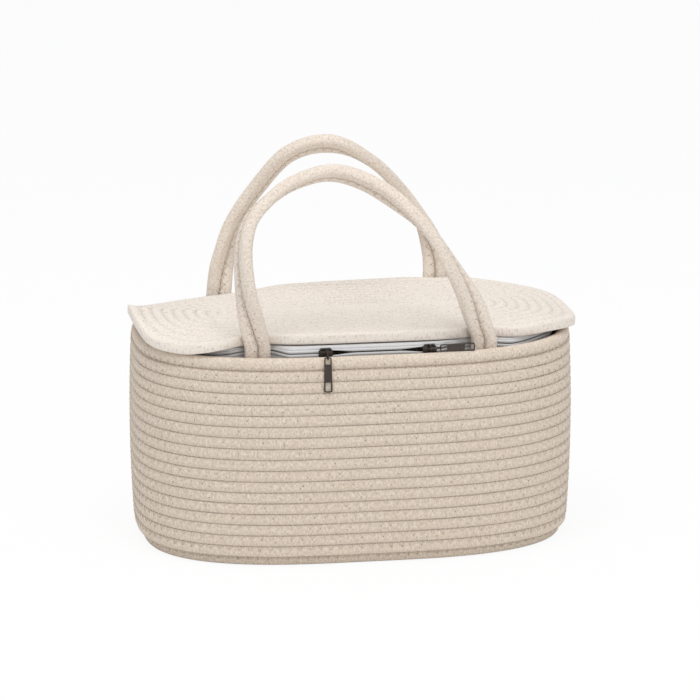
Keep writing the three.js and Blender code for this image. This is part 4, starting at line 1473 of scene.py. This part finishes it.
class ROPEBAG_OT_pulls(bpy.types.Operator):
    """Makes the two pulls, each a wire link and a tab"""

    bl_idname = "ropebag.pulls"
    bl_label = "Pulls"

    def execute(self, context):
        settings = context.scene.rope_bag
        slope, hang = math.radians(LINK_SLOPE), math.radians(TAB_HANG)
        for side, x, rise, link_way, link_face, tab_way, tab_face in (
            ("left", LEFT_X, CROWN_RISE, (0, -math.cos(slope), -math.sin(slope)), (1, 0, 0),
             (0, -math.sin(hang), -math.cos(hang)), (0, -math.cos(hang), math.sin(hang))),
            ("right", RIGHT_X, UPRIGHT_RISE, (1, 0, 0), (0, 0, 1), (1, 0, 0), (0, -1, 0)),
        ):
            pivot = np.array([x, ZIP_RUN - CROWN_Y, ZIP_Z + rise])
            link = turned(link_part(), link_way, np.cross(link_face, link_way), pivot)
            metal_piece(f"{side}_link_wire", link, settings, f"{side}_pull_link", False)
            eye = pivot + np.array(link_way) * LINK_PIVOTS
            tab = turned(tab_part(), tab_way, np.cross(tab_face, tab_way), eye)
            metal_piece(f"{side}_tab_plate", tab, settings, f"{side}_pull_tab")
        return {"FINISHED"}


# Studio

# Height of the camera's aim, and the small turn that sets the bag as low in the view as the
# photo has it: 74.8 of its pixels at a focal length of 4149 pixels
CAMERA_AIM = (0, 0, 0.09)
AIM_UP = math.atan(74.8 / 4149)
LAMP_AIM = (0, 0, 0.12)
FLOOR_HALF, FLOOR_Z = 6000, -0.2


def placed(context, name, data, place, forward):
    """An object at a place that looks along a direction."""
    obj = bpy.data.objects.new(name, data)
    context.scene.collection.objects.link(obj)
    obj.location = place
    obj.rotation_euler = forward.to_track_quat("-Z", "Y").to_euler()
    return obj


class ROPEBAG_OT_studio(bpy.types.Operator):
    """Sets up the camera, the soft lamps and the pale floor"""

    bl_idname = "ropebag.studio"
    bl_label = "Studio"

    def execute(self, context):
        studio = context.scene.rope_bag.studio
        self.camera(context, studio)
        context.scene.view_settings.view_transform = "Standard"
        context.scene.world = sky_world(studio.sky)
        self.lamp(context, "key_lamp", (-0.25, -0.6, 2.2), 1.6, studio.key)
        self.lamp(context, "front_lamp", (0.9, -2.6, 1.3), 1.2, studio.front)
        ways = ((-1, -1), (1, -1), (1, 1), (-1, 1))
        corners = [(x * FLOOR_HALF, y * FLOOR_HALF, FLOOR_Z) for x, y in ways]
        floor = made_mesh("studio_floor", corners, [(0, 1, 2, 3)], smooth_faces=False)
        floor.data.materials.append(floor_material(studio.floor_colour))
        return {"FINISHED"}

    def camera(self, context, studio):
        back = Vector((
            math.sin(studio.azimuth) * math.cos(studio.elevation),
            -math.cos(studio.azimuth) * math.cos(studio.elevation),
            math.sin(studio.elevation),
        ))
        data = bpy.data.cameras.new("bag_camera")
        data.lens = studio.lens
        data.sensor_width = 36
        data.clip_end = 50
        up = back.cross(Vector((0, 0, 1)).cross(back).normalized())
        forward = -back * math.cos(AIM_UP) + up * math.sin(AIM_UP)
        place = Vector(CAMERA_AIM) + back * studio.distance
        context.scene.camera = placed(context, "bag_camera", data, place, forward)

    def lamp(self, context, name, place, size, power):
        data = bpy.data.lights.new(name, "AREA")
        data.energy = power
        data.shape = "DISK"
        data.size = size
        placed(context, name, data, place, Vector(LAMP_AIM) - Vector(place))


class ROPEBAG_PT_panel(bpy.types.Panel):
    """Lists the bag's pieces and settings"""

    bl_idname = "ROPEBAG_PT_panel"
    bl_label = "Rope Bag"
    bl_space_type = "VIEW_3D"
    bl_region_type = "UI"
    bl_category = "Rope Bag"

    def draw(self, context):
        layout = self.layout
        for operator in OPERATORS:
            layout.operator(operator.bl_idname)
        settings = context.scene.rope_bag
        for group in (settings.cotton, settings.seams, settings.zip, settings.studio):
            box = layout.box()
            for name in group.bl_rna.properties.keys():
                if name not in ("rna_type", "name"):
                    box.prop(group, name)


SETTINGS = (CottonSettings, SeamSettings, ZipSettings, StudioSettings, RopeBagSettings)
OPERATORS = (
    ROPEBAG_OT_studio, ROPEBAG_OT_body, ROPEBAG_OT_lid, ROPEBAG_OT_handles,
    ROPEBAG_OT_zip, ROPEBAG_OT_hinge, ROPEBAG_OT_sliders, ROPEBAG_OT_pulls,
)


def register():
    for kind in (*SETTINGS, *OPERATORS, ROPEBAG_PT_panel):
        bpy.utils.register_class(kind)
    bpy.types.Scene.rope_bag = PointerProperty(type=RopeBagSettings)


def unregister():
    del bpy.types.Scene.rope_bag
    for kind in reversed((*SETTINGS, *OPERATORS, ROPEBAG_PT_panel)):
        bpy.utils.unregister_class(kind)


def main():
    register()
    for operator in OPERATORS:
        group, name = operator.bl_idname.split(".")
        getattr(getattr(bpy.ops, group), name)()


if __name__ == "__main__":
    main()
